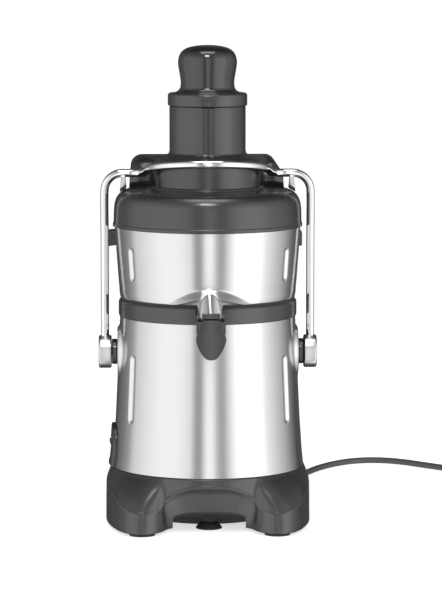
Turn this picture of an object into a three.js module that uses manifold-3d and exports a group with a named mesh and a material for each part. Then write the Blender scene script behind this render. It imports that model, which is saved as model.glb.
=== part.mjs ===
// Commercial centrifugal juicer: a steel motor housing on a moulded base, a steel juice bowl with a
// front spout, a plastic lid with a feed chute, a rear pulp hood over a pulp bin, and a chromed bail
// that swings over the lid and locks it down. Millimetres, +Z up, the front faces -Y.
import * as THREE from "three";
import { mergeVertices } from "three/addons/utils/BufferGeometryUtils.js";
import Module from "manifold-3d";

const wasm = await Module();
wasm.setup();

// ---- Driving dimensions ----
const GAP = 0.3; // between two pieces that touch on the real object
const ROUND = 32; // facets round a large turned piece
const SMALL_ROUND = 16; // facets round a small one
const MIDDLE_ROUND = 20; // facets round a piece between the two

// Base
const BASE_BOTTOM = 3;
const BASE_TOP = 60.7;
const BASE_WALL = 3.5;
const BASE_SEAT_RADIUS = 105.3;
const BASE_POINTS = 48;
const NOTCH_HALF_WIDTH = 38.6;
const NOTCH_TOP = 14;
const FOOT_RADIUS = 14;
const FOOT_SPIGOT_RADIUS = 5;
const FRONT_FOOT = [71, -91];
const REAR_FOOT = [70, 76];
const COVER_THICKNESS = 2;
const CENTRE_FOOT_RADIUS = 14.2;
const CENTRE_FOOT_FORWARD = 52;
const CABLE_HOLE_RADIUS = 22;
const MOUNT_STUD_RADIUS = 3;
const MOUNTS = [
  [-40, -40],
  [40, -40],
  [-40, 40],
  [40, 40],
];

// Motor housing, a cone of sheet steel
const HOUSING_HEIGHT = 160.7;
const HOUSING_BOTTOM_RADIUS = 102.9;
const HOUSING_TOP_RADIUS = 93.7;
const HOUSING_FLARE = 0.9; // extra radius of the skirt at its lower edge
const SHEET = 1.5;
const FLUTE_ANGLE = 57; // degrees from the front and from the back
const FLUTE_RADIUS = 4.5;
const FLUTE_DEPTH = 2.4;
const HOUSING_FLUTE_HEIGHTS = [113, 184];
const BOWL_FLUTE_HEIGHTS = [264, 298];

// Bail and its pivots
const PIVOT_DROP = 39; // below the housing's top
const PIVOT_BOLT_RADIUS = 4;
const SPACER_RADIUS = 13.6;
const HUB_RADIUS = 17.6;
const HUB_INNER_X = 102.9;
const HUB_WIDTH = 14;
const ROD_RADIUS = 4.4;
const ROD_X = 109.8;
const ROD_LIFT = 17.3; // over the lid's shoulder
const ROD_BEND = 19;
const RING_CLEARANCE = 8.8; // from the turret to the rod's middle
const RING_RISE = 13.5;
const ELBOW_LENGTH = 12; // from the ring out to the elbow
const FINGER_X = 89.9;
const FINGER_TOP_WIDTH = 4.8;
const FINGER_BOTTOM_WIDTH = 6.6;

// Collar, deck and bowl
const COLLAR_RADIUS = 95.1;
const COLLAR_HEIGHT = 18;
const COLLAR_WALL = 4;
const DECK_THICKNESS = 3.6;
const BOWL_LOW_RADIUS = 93.4;
const BOWL_RIM_RADIUS = 99;
const BOWL_HEIGHT = 86.5;
const BOWL_FLOOR_LIFT = 2;
const SPOUT_HALF_WIDTH = 12.4;
const SPOUT_SIDE = 8;
const SPOUT_WALL = 1.2;
const SPOUT_SLOPE = 18.4;
const SPOUT_ROOT_LIFT = 12.3; // over the bowl's bottom
const SPOUT_ROOT_FORWARD = 91;
const SPOUT_REACH = 141;
const FLAP_HALF_WIDTH = 15.6;
const FLAP_DROP = 43;
const FLAP_THICKNESS = 2.2;
const FLAP_PIN_RADIUS = 1.6;

// Lid
const LID_RADIUS = 101.1;
const LID_WALL = 2.4;
const LID_SHOULDER_HEIGHT = 38.7;
const TURRET_RADIUS = 57.2;
const TURRET_HEIGHT = 27;
const CHUTE_RADIUS = 40.6;
const CHUTE_WALL = 2.6;
const CHUTE_RISE = 59; // over the turret
const CHUTE_DROP = 46; // into the bowl, below the lid
const HOOD_HALF_WIDTH = 84;
const HOOD_RISE = 25.3; // over the lid's shoulder
const HOOD_BEND = 42;
const HOOD_FRONT = 25;
const HOOD_BACK = 230;
const HOOD_CORNER = 16;

// Pusher
const PUSHER_CLEARANCE = 1.4;
const PUSHER_WALL = 2.6;
const PUSHER_FLANGE_RADIUS = 42.3;
const PUSHER_FLANGE_HEIGHT = 13.5;
const PUSHER_LENGTH = 160;
const KNOB_RADIUS = 31.4;
const KNOB_HEIGHT = 50.2;

// Rotating parts
const SHAFT_RADIUS = 7;
const ROTOR_RADIUS = 32;
const STATOR_RADIUS = 60;
const FAN_RADIUS = 54;
const BASKET_BASE_RADIUS = 54;
const BASKET_RIM_RADIUS = 88;
const BASKET_LIFT = 27.1; // of its base over the bowl's bottom
const BASKET_RIM_DROP = 5.4; // of its rim below the bowl's
const GRATER_RADIUS = 50;

// Switch
const SWITCH_HEIGHT = 78.5;
const SWITCH_PAD_HALF_WIDTH = 26;
const SWITCH_PAD_TOP = 106;
const SWITCH_WINDOW = [23, 24]; // across and up

// Pulp bin
const BIN_HALF_WIDTH = 92;
const BIN_TAPER = 7;
const BIN_DEPTH = 122.6;
const BIN_DROP = 15; // of its rim below the lid
const BIN_WALL = 2.2;
const BIN_CLEARANCE = 2.4; // between the base and the bin
const BIN_LUG_X = 110;

// Cord
const CORD_RADIUS = 3.5;
const CORD_HEIGHT = 3.7; // of the cord's middle as it lies on the floor
const COIL_RADIUS = 38.5; // of the middle turns
const COIL_TURNS_ACROSS = 3;
const COIL_LAYERS = 2;
const COIL_CENTRE = [350, 304];
const COIL_ENTRY = 225; // degrees round the coil, where the lead runs into its outer turn

// ---- Sizes that follow ----
const HOUSING_BOTTOM = BASE_TOP + GAP;
const HOUSING_TOP = HOUSING_BOTTOM + HOUSING_HEIGHT;
const COLLAR_BOTTOM = HOUSING_TOP + GAP;
const COLLAR_TOP = COLLAR_BOTTOM + COLLAR_HEIGHT;
const COLLAR_LEDGE = COLLAR_BOTTOM + 3;
const DECK_BOTTOM = COLLAR_LEDGE + GAP;
const DECK_TOP = DECK_BOTTOM + DECK_THICKNESS;
const BOWL_BOTTOM = DECK_TOP + BOWL_FLOOR_LIFT;
const BOWL_TOP = BOWL_BOTTOM + BOWL_HEIGHT;
const LID_BOTTOM = BOWL_TOP + 0.6;
const LID_PLATEAU = LID_BOTTOM + LID_SHOULDER_HEIGHT;
const PIVOT_HEIGHT = HOUSING_TOP - PIVOT_DROP;
const ROD_TOP = LID_PLATEAU + ROD_LIFT;
const RING_RADIUS = TURRET_RADIUS + RING_CLEARANCE;
const ELBOW_X = RING_RADIUS + ELBOW_LENGTH;
const SPOUT_ROOT_HEIGHT = BOWL_BOTTOM + SPOUT_ROOT_LIFT;
const CHUTE_BOTTOM = LID_BOTTOM - CHUTE_DROP;
const HOOD_TOP = LID_PLATEAU + HOOD_RISE;
const BASKET_BASE_HEIGHT = BOWL_BOTTOM + BASKET_LIFT;
const BASKET_RIM_HEIGHT = BOWL_TOP - BASKET_RIM_DROP;
const BIN_HEIGHT = LID_BOTTOM - BIN_DROP;
const TURRET_TOP = LID_PLATEAU + TURRET_HEIGHT + 3;
const CHUTE_TOP = TURRET_TOP + CHUTE_RISE;
const FLANGE_BOTTOM = CHUTE_TOP + GAP;
const FLANGE_TOP = FLANGE_BOTTOM + PUSHER_FLANGE_HEIGHT;
const BIN_FRONT = 110 + BIN_CLEARANCE;
const HOOD_SKIRT = BIN_HEIGHT + 5;
const FRONT_REACH = SPOUT_REACH + 9;
const BACK_REACH = BIN_FRONT + BIN_DEPTH;
// The footprint's middle is the origin, so the turning axis stands this far in front of it.
const AXIS_Y = (FRONT_REACH - BACK_REACH) / 2;

// ---- Finishes ----
function finish(color, roughness, metalness) {
  return new THREE.MeshStandardMaterial({ color, roughness, metalness });
}
const MOULDED = finish(0x4b4b4c, 0.45, 0);
const GLOSSY = finish(0x38383a, 0.15, 0);
const STEEL = finish(0xc9cacb, 0.28, 1);
const CHROME = finish(0xe6e7e8, 0.06, 1);
const SATIN = finish(0xb9babb, 0.35, 1);
const RUBBER = finish(0x1c1c1d, 0.8, 0);
const CAST = finish(0x9a9c9e, 0.5, 0.9);
const IRON = finish(0x5c5f63, 0.5, 0.8);
const CORD = finish(0x4c4d4f, 0.6, 0);
const BRASS = finish(0xc8a95a, 0.3, 1);

// ---- Making and joining solids ----
function solid(geometry) {
  const bare = geometry.clone();
  bare.deleteAttribute("normal");
  bare.deleteAttribute("uv");
  const merged = mergeVertices(bare, 1e-4);
  const index = [];
  for (let i = 0; i < merged.index.count; i += 3) {
    const [a, b, c] = [0, 1, 2].map((k) => merged.index.getX(i + k));
    if (a !== b && b !== c && c !== a) index.push(a, b, c);
  }
  const triVerts = new Uint32Array(index);
  const vertProperties = merged.attributes.position.array;
  return new wasm.Manifold(new wasm.Mesh({ numProp: 3, vertProperties, triVerts }));
}

function geometryOf(made) {
  const { vertProperties, triVerts } = made.getMesh();
  const geometry = new THREE.BufferGeometry();
  geometry.setAttribute("position", new THREE.BufferAttribute(vertProperties, 3));
  geometry.setIndex(new THREE.BufferAttribute(triVerts, 1));
  geometry.computeVertexNormals();
  return geometry;
}

const joined = (solids) => solids.reduce((all, next) => all.add(next));

// A profile of [radius, height] points turned about Z. It runs counter-clockwise with the radius to
// the right, and it starts and ends on the axis or closes on itself.
function turned(profile, segments = ROUND) {
  const points = profile.map(([r, z]) => new THREE.Vector2(r, z));
  return new THREE.LatheGeometry(points, segments).rotateX(Math.PI / 2);
}

function ring(inner, outer, bottom, top, segments = ROUND) {
  const profile = [
    [inner, bottom],
    [outer, bottom],
    [outer, top],
    [inner, top],
    [inner, bottom],
  ];
  return turned(profile, segments);
}

function drum(radius, bottom, top, segments = SMALL_ROUND) {
  const profile = [
    [0, bottom],
    [radius, bottom],
    [radius, top],
    [0, top],
  ];
  return turned(profile, segments);
}

// A drum between two places.
function bar(from, to, radius, segments = SMALL_ROUND) {
  const start = new THREE.Vector3(...from);
  const along = new THREE.Vector3(...to).sub(start);
  const up = new THREE.Vector3(0, 0, 1);
  const turn = new THREE.Quaternion().setFromUnitVectors(up, along.clone().normalize());
  const made = drum(radius, 0, along.length(), segments).applyQuaternion(turn);
  return made.translate(start.x, start.y, start.z);
}

function block(low, high) {
  const size = high.map((v, i) => v - low[i]);
  const middle = high.map((v, i) => (v + low[i]) / 2);
  return new THREE.BoxGeometry(...size).translate(...middle);
}

// An outline of (x, z) pushed along Y, and one of (y, z) pushed along X.
function slabAlongY(shape, front, back, curveSegments = 6) {
  const options = { depth: back - front, bevelEnabled: false, curveSegments };
  return new THREE.ExtrudeGeometry(shape, options).rotateX(Math.PI / 2).translate(0, back, 0);
}

function slabAlongX(shape, left, right, curveSegments = 6) {
  const options = { depth: right - left, bevelEnabled: false, curveSegments };
  const turn = new THREE.Matrix4().makeBasis(
    new THREE.Vector3(0, 1, 0),
    new THREE.Vector3(0, 0, 1),
    new THREE.Vector3(1, 0, 0),
  );
  return new THREE.ExtrudeGeometry(shape, options).applyMatrix4(turn).translate(left, 0, 0);
}

// A skin over closed rings of equal count, from the lowest to the highest, with flat ends.
function loft(rings) {
  const count = rings[0].length;
  const positions = rings.flat(2);
  const index = [];
  for (let r = 0; r + 1 < rings.length; r++) {
    for (let i = 0; i < count; i++) {
      const [a, b] = [r * count + i, r * count + ((i + 1) % count)];
      index.push(a, b, b + count, a, b + count, a + count);
    }
  }
  const ends = [rings[0], rings[rings.length - 1]];
  ends.forEach((end, which) => {
    const middle = positions.length / 3;
    const first = which === 0 ? 0 : (rings.length - 1) * count;
    positions.push(...[0, 1, 2].map((k) => end.reduce((sum, p) => sum + p[k], 0) / count));
    for (let i = 0; i < count; i++) {
      const [a, b] = [first + i, first + ((i + 1) % count)];
      index.push(...(which === 0 ? [middle, b, a] : [middle, a, b]));
    }
  });
  const geometry = new THREE.BufferGeometry();
  geometry.setAttribute("position", new THREE.Float32BufferAttribute(positions, 3));
  geometry.setIndex(index);
  return geometry;
}

function sweep(points, radius, steps, sides) {
  const section = new THREE.Shape().absarc(0, 0, radius, 0, 2 * Math.PI);
  const curve = new THREE.CatmullRomCurve3(points, false, "centripetal");
  return new THREE.ExtrudeGeometry(section, { steps, curveSegments: sides / 2, extrudePath: curve });
}

const root = new THREE.Group();
const machine = new THREE.Group();
machine.position.y = AXIS_Y;
root.add(machine);

function add(name, made, material) {
  const mesh = new THREE.Mesh(geometryOf(made), material);
  mesh.name = name;
  machine.add(mesh);
}

const both = (make) => [-1, 1].map((side) => make(side, side < 0 ? "left" : "right"));

// ---- Base ----
// The right half of the base's wall, from the front's middle to the back's middle: where it meets
// the floor line, where it ends at the top, and how high that is.
const BASE_WALL_LINE = [
  { foot: [0, -64], head: [0, -105.5], rise: 52 },
  { foot: [20, -64.5], head: [20, -103.5], rise: 51 },
  { foot: [34, -67], head: [37, -98], rise: 44 },
  { foot: [43, -75], head: [47, -94], rise: 35 },
  { foot: [49, -89], head: [52, -97], rise: 28 },
  { foot: [58, -102], head: [59, -103], rise: 24 },
  { foot: [71, -107], head: [71, -106.5], rise: 22.8 },
  { foot: [84, -102.5], head: [84, -102], rise: 25 },
  { foot: [94, -88], head: [94, -87.5], rise: 30 },
  { foot: [101, -68], head: [100.5, -68], rise: 39 },
  { foot: [106.5, -42], head: [106, -42], rise: 50 },
  { foot: [109.2, -8], head: [108.8, -8], rise: 54 },
  { foot: [108.5, 30], head: [108, 30], rise: 54 },
  { foot: [104, 62], head: [103.5, 62], rise: 54 },
  { foot: [92, 88], head: [91.5, 87.5], rise: 54 },
  { foot: [70, 102], head: [70, 101.5], rise: 54 },
  { foot: [36, 108.5], head: [36, 108], rise: 54 },
  { foot: [0, 110], head: [0, 109.5], rise: 54 },
];

function wholeLine(line) {
  const mirrored = line.slice(1, -1).reverse();
  const flip = ([x, y]) => [-x, y];
  return [...line, ...mirrored.map((p) => ({ foot: flip(p.foot), head: flip(p.head), rise: p.rise }))];
}

function curveThrough(pick) {
  const points = wholeLine(BASE_WALL_LINE).map((p) => new THREE.Vector3(...pick(p)));
  return new THREE.CatmullRomCurve3(points, true, "centripetal");
}

const baseFoot = curveThrough((p) => [...p.foot, BASE_BOTTOM]);
const baseHead = curveThrough((p) => [...p.head, p.rise]);
const around = Array.from({ length: BASE_POINTS }, (_, i) => i / BASE_POINTS);

function insetRing(ringPoints, inset) {
  return ringPoints.map(([x, y, z], i) => {
    const before = ringPoints[(i + ringPoints.length - 1) % ringPoints.length];
    const after = ringPoints[(i + 1) % ringPoints.length];
    const [dx, dy] = [after[0] - before[0], after[1] - before[1]];
    const long = Math.hypot(dx, dy);
    return [x - (dy / long) * inset, y + (dx / long) * inset, z];
  });
}

// The base's outline at a share of the way up its wall.
function wallRing(share, inset = 0, drop = 0) {
  const points = around.map((u) => {
    const at = baseFoot.getPoint(u).lerp(baseHead.getPoint(u), share);
    return [at.x, at.y, at.z - drop];
  });
  return insetRing(points, inset);
}

// Between the wall's top and the round seat of the housing.
function slopeRing(share, height, inset = 0, drop = 0) {
  const points = around.map((u) => {
    const head = baseHead.getPoint(u);
    const scale = BASE_SEAT_RADIUS / Math.hypot(head.x, head.y);
    const x = THREE.MathUtils.lerp(head.x, head.x * scale, share);
    const y = THREE.MathUtils.lerp(head.y, head.y * scale, share);
    const seat = BASE_TOP - 1.7;
    return [x, y, THREE.MathUtils.lerp(head.z, seat, height) - drop];
  });
  return insetRing(points, inset);
}

const atHeight = (points, z) => points.map(([x, y]) => [x, y, z]);

function baseBody() {
  const seatEdge = atHeight(slopeRing(1, 1, 1.3), BASE_TOP);
  const slope = [slopeRing(0.55, 0.45), slopeRing(1, 1)];
  return solid(loft([wallRing(0), wallRing(0.5), wallRing(1), ...slope, seatEdge]));
}

function baseHollow() {
  const low = atHeight(wallRing(0, BASE_WALL), BASE_BOTTOM - 1);
  const top = atHeight(slopeRing(1, 1, BASE_WALL + 1), BASE_TOP - 4);
  const rings = [low, wallRing(1, BASE_WALL, 2.5), slopeRing(0.55, 0.45, BASE_WALL, 3), top];
  return solid(loft(rings));
}

const FEET = [
  ["front_left", -FRONT_FOOT[0], FRONT_FOOT[1]],
  ["front_right", FRONT_FOOT[0], FRONT_FOOT[1]],
  ["rear_left", -REAR_FOOT[0], REAR_FOOT[1]],
  ["rear_right", REAR_FOOT[0], REAR_FOOT[1]],
];
const SCREWS = [
  [-62, -38],
  [62, -38],
  [-45, 78],
  [45, 78],
];
const SCREW_RADIUS = 2;
const COVER_BOTTOM = NOTCH_TOP + 0.6;

function basePosts(body) {
  const feet = FEET.map(([, x, y]) => solid(drum(FOOT_RADIUS + 1.5, BASE_BOTTOM, BASE_TOP).translate(x, y, 0)));
  const bosses = SCREWS.map(([x, y]) => {
    return solid(drum(6, COVER_BOTTOM + COVER_THICKNESS + GAP, BASE_TOP - 1, 12).translate(x, y, 0));
  });
  return joined([...feet, ...bosses]).intersect(body);
}

function notch() {
  const w = NOTCH_HALF_WIDTH;
  const round = 4;
  const shape = new THREE.Shape();
  shape.moveTo(-w, BASE_BOTTOM - 5);
  shape.lineTo(w, BASE_BOTTOM - 5);
  shape.lineTo(w, NOTCH_TOP - round);
  shape.absarc(w - round, NOTCH_TOP - round, round, 0, Math.PI / 2);
  shape.absarc(-w + round, NOTCH_TOP - round, round, Math.PI / 2, Math.PI);
  return solid(slabAlongY(shape, -100, -45));
}

const CORD_EXIT = new THREE.Vector3(90.5, 91.5, 27);
const CORD_WAY = new THREE.Vector3(0.5, 0.866, 0).normalize();
const along = (from, way, far) => from.clone().addScaledVector(way, far).toArray();
const GLAND_RADIUS = 7;

function baseShell() {
  const body = baseBody();
  const shell = body.subtract(baseHollow()).add(basePosts(body));
  const spigots = FEET.map(([, x, y]) => solid(drum(FOOT_SPIGOT_RADIUS + GAP, 0, 13, 12).translate(x, y, 0)));
  const screws = SCREWS.map(([x, y]) => solid(drum(SCREW_RADIUS + GAP, 0, 45, 12).translate(x, y, 0)));
  const cable = solid(drum(CABLE_HOLE_RADIUS, 40, BASE_TOP + 5));
  const [glandStart, glandEnd] = [along(CORD_EXIT, CORD_WAY, -25), along(CORD_EXIT, CORD_WAY, 20)];
  const glandHole = solid(bar(glandStart, glandEnd, GLAND_RADIUS + GAP));
  const boltHoles = MOUNTS.map(([x, y]) => {
    return solid(drum(MOUNT_STUD_RADIUS + GAP, 40, BASE_TOP + 5, 12).translate(x, y, 0));
  });
  return shell.subtract(joined([notch(), ...spigots, ...screws, cable, glandHole, ...boltHoles]));
}

function bottomCover() {
  const outline = atHeight(wallRing(0.12, BASE_WALL + 2), COVER_BOTTOM);
  const plate = solid(loft([outline, atHeight(outline, COVER_BOTTOM + COVER_THICKNESS)]));
  const posts = FEET.map(([, x, y]) => solid(drum(FOOT_RADIUS + 2.2, 0, 30).translate(x, y, 0)));
  const screws = SCREWS.map(([x, y]) => solid(drum(SCREW_RADIUS + GAP, 0, 30, 12).translate(x, y, 0)));
  const slots = [-30, -18, -6, 6, 18, 30].map((x) => {
    return solid(block([x - 2.5, -15, COVER_BOTTOM - 2], [x + 2.5, 45, COVER_BOTTOM + 8]));
  });
  return plate.subtract(joined([...posts, ...screws, ...slots]));
}

function rubberFoot(x, y) {
  const profile = [
    [0, 0],
    [FOOT_RADIUS - 1, 0],
    [FOOT_RADIUS, 1.2],
    [FOOT_RADIUS - 0.4, BASE_BOTTOM - GAP],
    [FOOT_SPIGOT_RADIUS, BASE_BOTTOM - GAP],
    [FOOT_SPIGOT_RADIUS, 12],
    [0, 12],
  ];
  return solid(turned(profile, SMALL_ROUND).translate(x, y, 0));
}

function centreFoot() {
  const profile = [
    [0, 0],
    [CENTRE_FOOT_RADIUS, 0],
    [CENTRE_FOOT_RADIUS - 1.6, 4.2],
    [8, 6.6],
    [8, COVER_BOTTOM - GAP],
    [0, COVER_BOTTOM - GAP],
  ];
  return solid(turned(profile, SMALL_ROUND).translate(0, -CENTRE_FOOT_FORWARD, 0));
}

function coverScrew(x, y) {
  const profile = [
    [0, COVER_BOTTOM - 2.6],
    [4, COVER_BOTTOM - 2.6],
    [4, COVER_BOTTOM - GAP],
    [SCREW_RADIUS, COVER_BOTTOM - GAP],
    [SCREW_RADIUS, 40],
    [0, 40],
  ];
  return solid(turned(profile, 12).translate(x, y, 0));
}

// ---- Motor ----
const MOTOR_BOTTOM = BASE_TOP + 7;
const BELL_HEIGHT = 15;
const STATOR_BOTTOM = MOTOR_BOTTOM + BELL_HEIGHT + GAP;
const STATOR_TOP = STATOR_BOTTOM + 66;
const BELL_TOP = STATOR_TOP + GAP + BELL_HEIGHT;
const BEARING_RADIUS = 15;
const BEARING_HEIGHT = 9;
const FAN_BOTTOM = BELL_TOP + 6;
const SHAFT_TOP = BASKET_BASE_HEIGHT + 18;

// The plate that carries the motor, with a stud at each corner down into the base.
function motorPlate() {
  const plate = solid(ring(CABLE_HOLE_RADIUS, STATOR_RADIUS + 6, BASE_TOP + 3, MOTOR_BOTTOM - GAP));
  const studs = MOUNTS.map(([x, y]) => {
    const profile = [
      [0, BASE_TOP - 8],
      [MOUNT_STUD_RADIUS, BASE_TOP - 8],
      [MOUNT_STUD_RADIUS, BASE_TOP + GAP],
      [8, BASE_TOP + GAP],
      [8, BASE_TOP + 4],
      [0, BASE_TOP + 4],
    ];
    return solid(turned(profile, 12).translate(x, y, 0));
  });
  return joined([plate, ...studs]);
}

// An end bell: a dish with a bearing pocket in its middle, open towards the stator.
function endBell(bottom, opensUp) {
  const top = bottom + BELL_HEIGHT;
  const dish = solid(drum(STATOR_RADIUS, bottom, top, MIDDLE_ROUND));
  const [low, high] = opensUp ? [bottom + 5, top + 1] : [bottom - 1, top - 5];
  const hollow = solid(ring(BEARING_RADIUS + 5, STATOR_RADIUS - 5, low, high, MIDDLE_ROUND));
  const deep = BEARING_HEIGHT + GAP;
  const [pocketLow, pocketHigh] = opensUp ? [top - deep, top + 1] : [bottom - 1, bottom + deep];
  const pocket = solid(drum(BEARING_RADIUS + GAP, pocketLow, pocketHigh));
  const bore = solid(drum(SHAFT_RADIUS + 1, bottom - 5, top + 5));
  return dish.subtract(joined([hollow, pocket, bore]));
}

function stator() {
  return solid(ring(ROTOR_RADIUS + 0.8, STATOR_RADIUS, STATOR_BOTTOM, STATOR_TOP, MIDDLE_ROUND));
}

function rotorCore() {
  return solid(ring(SHAFT_RADIUS + GAP, ROTOR_RADIUS, STATOR_BOTTOM + 2, STATOR_TOP - 2, MIDDLE_ROUND));
}

function bearing(bottom) {
  const inner = SHAFT_RADIUS + 0.4;
  return solid(ring(inner, BEARING_RADIUS, bottom, bottom + BEARING_HEIGHT - 2 * GAP, SMALL_ROUND));
}

function fan() {
  const disc = solid(ring(SHAFT_RADIUS + GAP, FAN_RADIUS, FAN_BOTTOM, FAN_BOTTOM + 2, MIDDLE_ROUND));
  const boss = solid(ring(SHAFT_RADIUS + GAP, 14, FAN_BOTTOM, FAN_BOTTOM + 10, SMALL_ROUND));
  const blades = Array.from({ length: 8 }, (_, i) => {
    const blade = block([18, -1, FAN_BOTTOM + 1], [FAN_RADIUS - 1, 1, FAN_BOTTOM + 10]);
    return solid(blade.rotateZ((i * Math.PI) / 4));
  });
  return joined([disc, boss, ...blades]);
}

// ---- Motor housing ----
const HOUSING_LINE = [
  [HOUSING_BOTTOM_RADIUS, HOUSING_BOTTOM],
  [HOUSING_BOTTOM_RADIUS - HOUSING_FLARE - 1, HOUSING_BOTTOM + 0.1 * HOUSING_HEIGHT],
  [
    THREE.MathUtils.lerp(HOUSING_BOTTOM_RADIUS - HOUSING_FLARE, HOUSING_TOP_RADIUS, 0.34),
    HOUSING_BOTTOM + 0.33 * HOUSING_HEIGHT,
  ],
  [HOUSING_TOP_RADIUS, HOUSING_TOP],
];

function radiusAt(line, z) {
  const above = line.findIndex(([, height], i) => i > 0 && height >= z);
  const upper = above < 0 ? line.length - 1 : above;
  const [[r0, z0], [r1, z1]] = [line[upper - 1], line[upper]];
  return r0 + ((r1 - r0) * (z - z0)) / (z1 - z0);
}

// The height of a line that narrows as it rises, at a radius.
const heightAt = (line, radius) => radiusAt(line.map(([r, z]) => [z, -r]), -radius);

// A tube of sheet metal whose outside follows the line.
function sheetTube(line) {
  const inside = line.map(([r, z]) => [r - SHEET, z]).reverse();
  return [...line, ...inside, line[0]];
}

// Round-ended bars that press the four flutes of a turned wall, at the wall's own slope.
function fluteBars(line, [low, high], extra) {
  const seat = FLUTE_RADIUS - FLUTE_DEPTH;
  const [lowRadius, highRadius] = [radiusAt(line, low) + seat, radiusAt(line, high) + seat];
  const radius = FLUTE_RADIUS + extra;
  return joined(
    [FLUTE_ANGLE, 180 - FLUTE_ANGLE, 180 + FLUTE_ANGLE, 360 - FLUTE_ANGLE].map((degrees) => {
      const angle = THREE.MathUtils.degToRad(degrees - 90);
      const place = (r, z) => [r * Math.cos(angle), r * Math.sin(angle), z];
      const [from, to] = [place(lowRadius, low + FLUTE_RADIUS), place(highRadius, high - FLUTE_RADIUS)];
      const ends = [from, to].map((p) => solid(new THREE.SphereGeometry(radius, 8, 4).translate(...p)));
      return joined([solid(bar(from, to, radius, 8)), ...ends]);
    }),
  );
}

function pressedTube(line, heights) {
  const outside = solid(turned([[0, line[0][1]], ...line, [0, line[line.length - 1][1]]]));
  const [bottom, top] = [line[0][1] - 1, line[line.length - 1][1] + 1];
  const inner = line.map(([r, z]) => [r - SHEET, z]);
  inner[0][1] = bottom;
  inner[inner.length - 1][1] = top;
  const inside = solid(turned([[0, bottom], ...inner, [0, top]]));
  const shell = outside.subtract(fluteBars(line, heights, 0));
  return shell.subtract(inside.subtract(fluteBars(line, heights, SHEET)));
}

function motorHousing() {
  const pivots = solid(bar([-150, 0, PIVOT_HEIGHT], [150, 0, PIVOT_HEIGHT], PIVOT_BOLT_RADIUS + GAP));
  const [across, up] = SWITCH_WINDOW;
  const opening = block([-150, -across / 2, SWITCH_HEIGHT - up / 2], [-60, across / 2, SWITCH_HEIGHT + up / 2]);
  return pressedTube(HOUSING_LINE, HOUSING_FLUTE_HEIGHTS).subtract(joined([pivots, solid(opening)]));
}

// ---- Switch ----
const SWITCH_X = -(radiusAt(HOUSING_LINE, SWITCH_HEIGHT) + 1.4);
const SWITCH_PAD_PROUD = 3.8;

function switchBezel() {
  const bottom = HOUSING_BOTTOM + 1;
  const heights = [bottom, HOUSING_BOTTOM + 0.1 * HOUSING_HEIGHT, SWITCH_PAD_TOP];
  const line = (out) => heights.map((z) => [radiusAt(HOUSING_LINE, z) + out, z]);
  const profile = [...line(SWITCH_PAD_PROUD), ...line(0.5).reverse(), line(SWITCH_PAD_PROUD)[0]];
  const w = SWITCH_PAD_HALF_WIDTH;
  const shape = new THREE.Shape();
  shape.moveTo(w, bottom);
  shape.lineTo(w, SWITCH_PAD_TOP - w);
  shape.absarc(0, SWITCH_PAD_TOP - w, w, 0, Math.PI);
  shape.lineTo(-w, bottom);
  const pad = solid(slabAlongX(shape, -130, -80));
  const [across, up] = SWITCH_WINDOW;
  const window = block([-150, -across / 2, SWITCH_HEIGHT - up / 2], [-60, across / 2, SWITCH_HEIGHT + up / 2]);
  return solid(turned(profile, 64)).intersect(pad).subtract(solid(window));
}

const ROCKER_TILT = 6;

function switchRocker() {
  const [across, up] = [SWITCH_WINDOW[0] / 2 - 0.9, SWITCH_WINDOW[1] / 2 - 1.7];
  const shape = new THREE.Shape();
  shape.moveTo(-4, -up + 1.8);
  shape.lineTo(3.6, -up);
  shape.lineTo(2, 0);
  shape.lineTo(3.6, up);
  shape.lineTo(-4, up - 1.8);
  const made = slabAlongY(shape, -across, across).rotateY(THREE.MathUtils.degToRad(ROCKER_TILT));
  return solid(made.rotateZ(Math.PI).translate(SWITCH_X, 0, SWITCH_HEIGHT));
}

// ---- Collar and deck ----
const COLLAR_INSIDE = COLLAR_RADIUS - COLLAR_WALL;

function spoutSection(grow) {
  const w = SPOUT_HALF_WIDTH + grow;
  const low = -SPOUT_SIDE - grow;
  const round = 3;
  const shape = new THREE.Shape();
  shape.moveTo(-w + round, low);
  shape.lineTo(w - round, low);
  shape.absarc(w - round, low + round, round, -Math.PI / 2, 0);
  shape.absarc(0, 0, w, 0, Math.PI);
  shape.absarc(-w + round, low + round, round, Math.PI, 1.5 * Math.PI);
  return shape;
}

// The spout's section pushed from the bowl down the slope, from one reach to another.
function spoutSlab(grow, from, to) {
  const slope = THREE.MathUtils.degToRad(SPOUT_SLOPE);
  const [near, far] = [from, to].map((reach) => (reach - SPOUT_ROOT_FORWARD) / Math.cos(slope));
  const made = slabAlongY(spoutSection(grow), -far, -near);
  return solid(made.rotateX(slope).translate(0, -SPOUT_ROOT_FORWARD, SPOUT_ROOT_HEIGHT));
}

function collarRing() {
  const profile = [
    [COLLAR_INSIDE - 5, COLLAR_BOTTOM],
    [COLLAR_RADIUS - 0.8, COLLAR_BOTTOM],
    [COLLAR_RADIUS, COLLAR_BOTTOM + 1.2],
    [COLLAR_RADIUS, COLLAR_TOP - 2],
    [COLLAR_RADIUS - 1.6, COLLAR_TOP],
    [COLLAR_INSIDE, COLLAR_TOP],
    [COLLAR_INSIDE, COLLAR_LEDGE],
    [COLLAR_INSIDE - 5, COLLAR_LEDGE],
    [COLLAR_INSIDE - 5, COLLAR_BOTTOM],
  ];
  return solid(turned(profile)).subtract(spoutSlab(1.4, 70, SPOUT_REACH));
}

const SEAL_RADIUS = 13;

function topDeck() {
  return solid(ring(SEAL_RADIUS + GAP, COLLAR_INSIDE - GAP - 0.3, DECK_BOTTOM, DECK_TOP));
}

// ---- Bowl ----
const BOWL_SEAT = COLLAR_TOP + 0.6; // where the bowl's wall comes out over the collar
const BOWL_LINE = [
  [BOWL_LOW_RADIUS, BOWL_SEAT],
  [BOWL_RIM_RADIUS, BOWL_TOP],
];
const BOWL_HOLE = 11;

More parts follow.
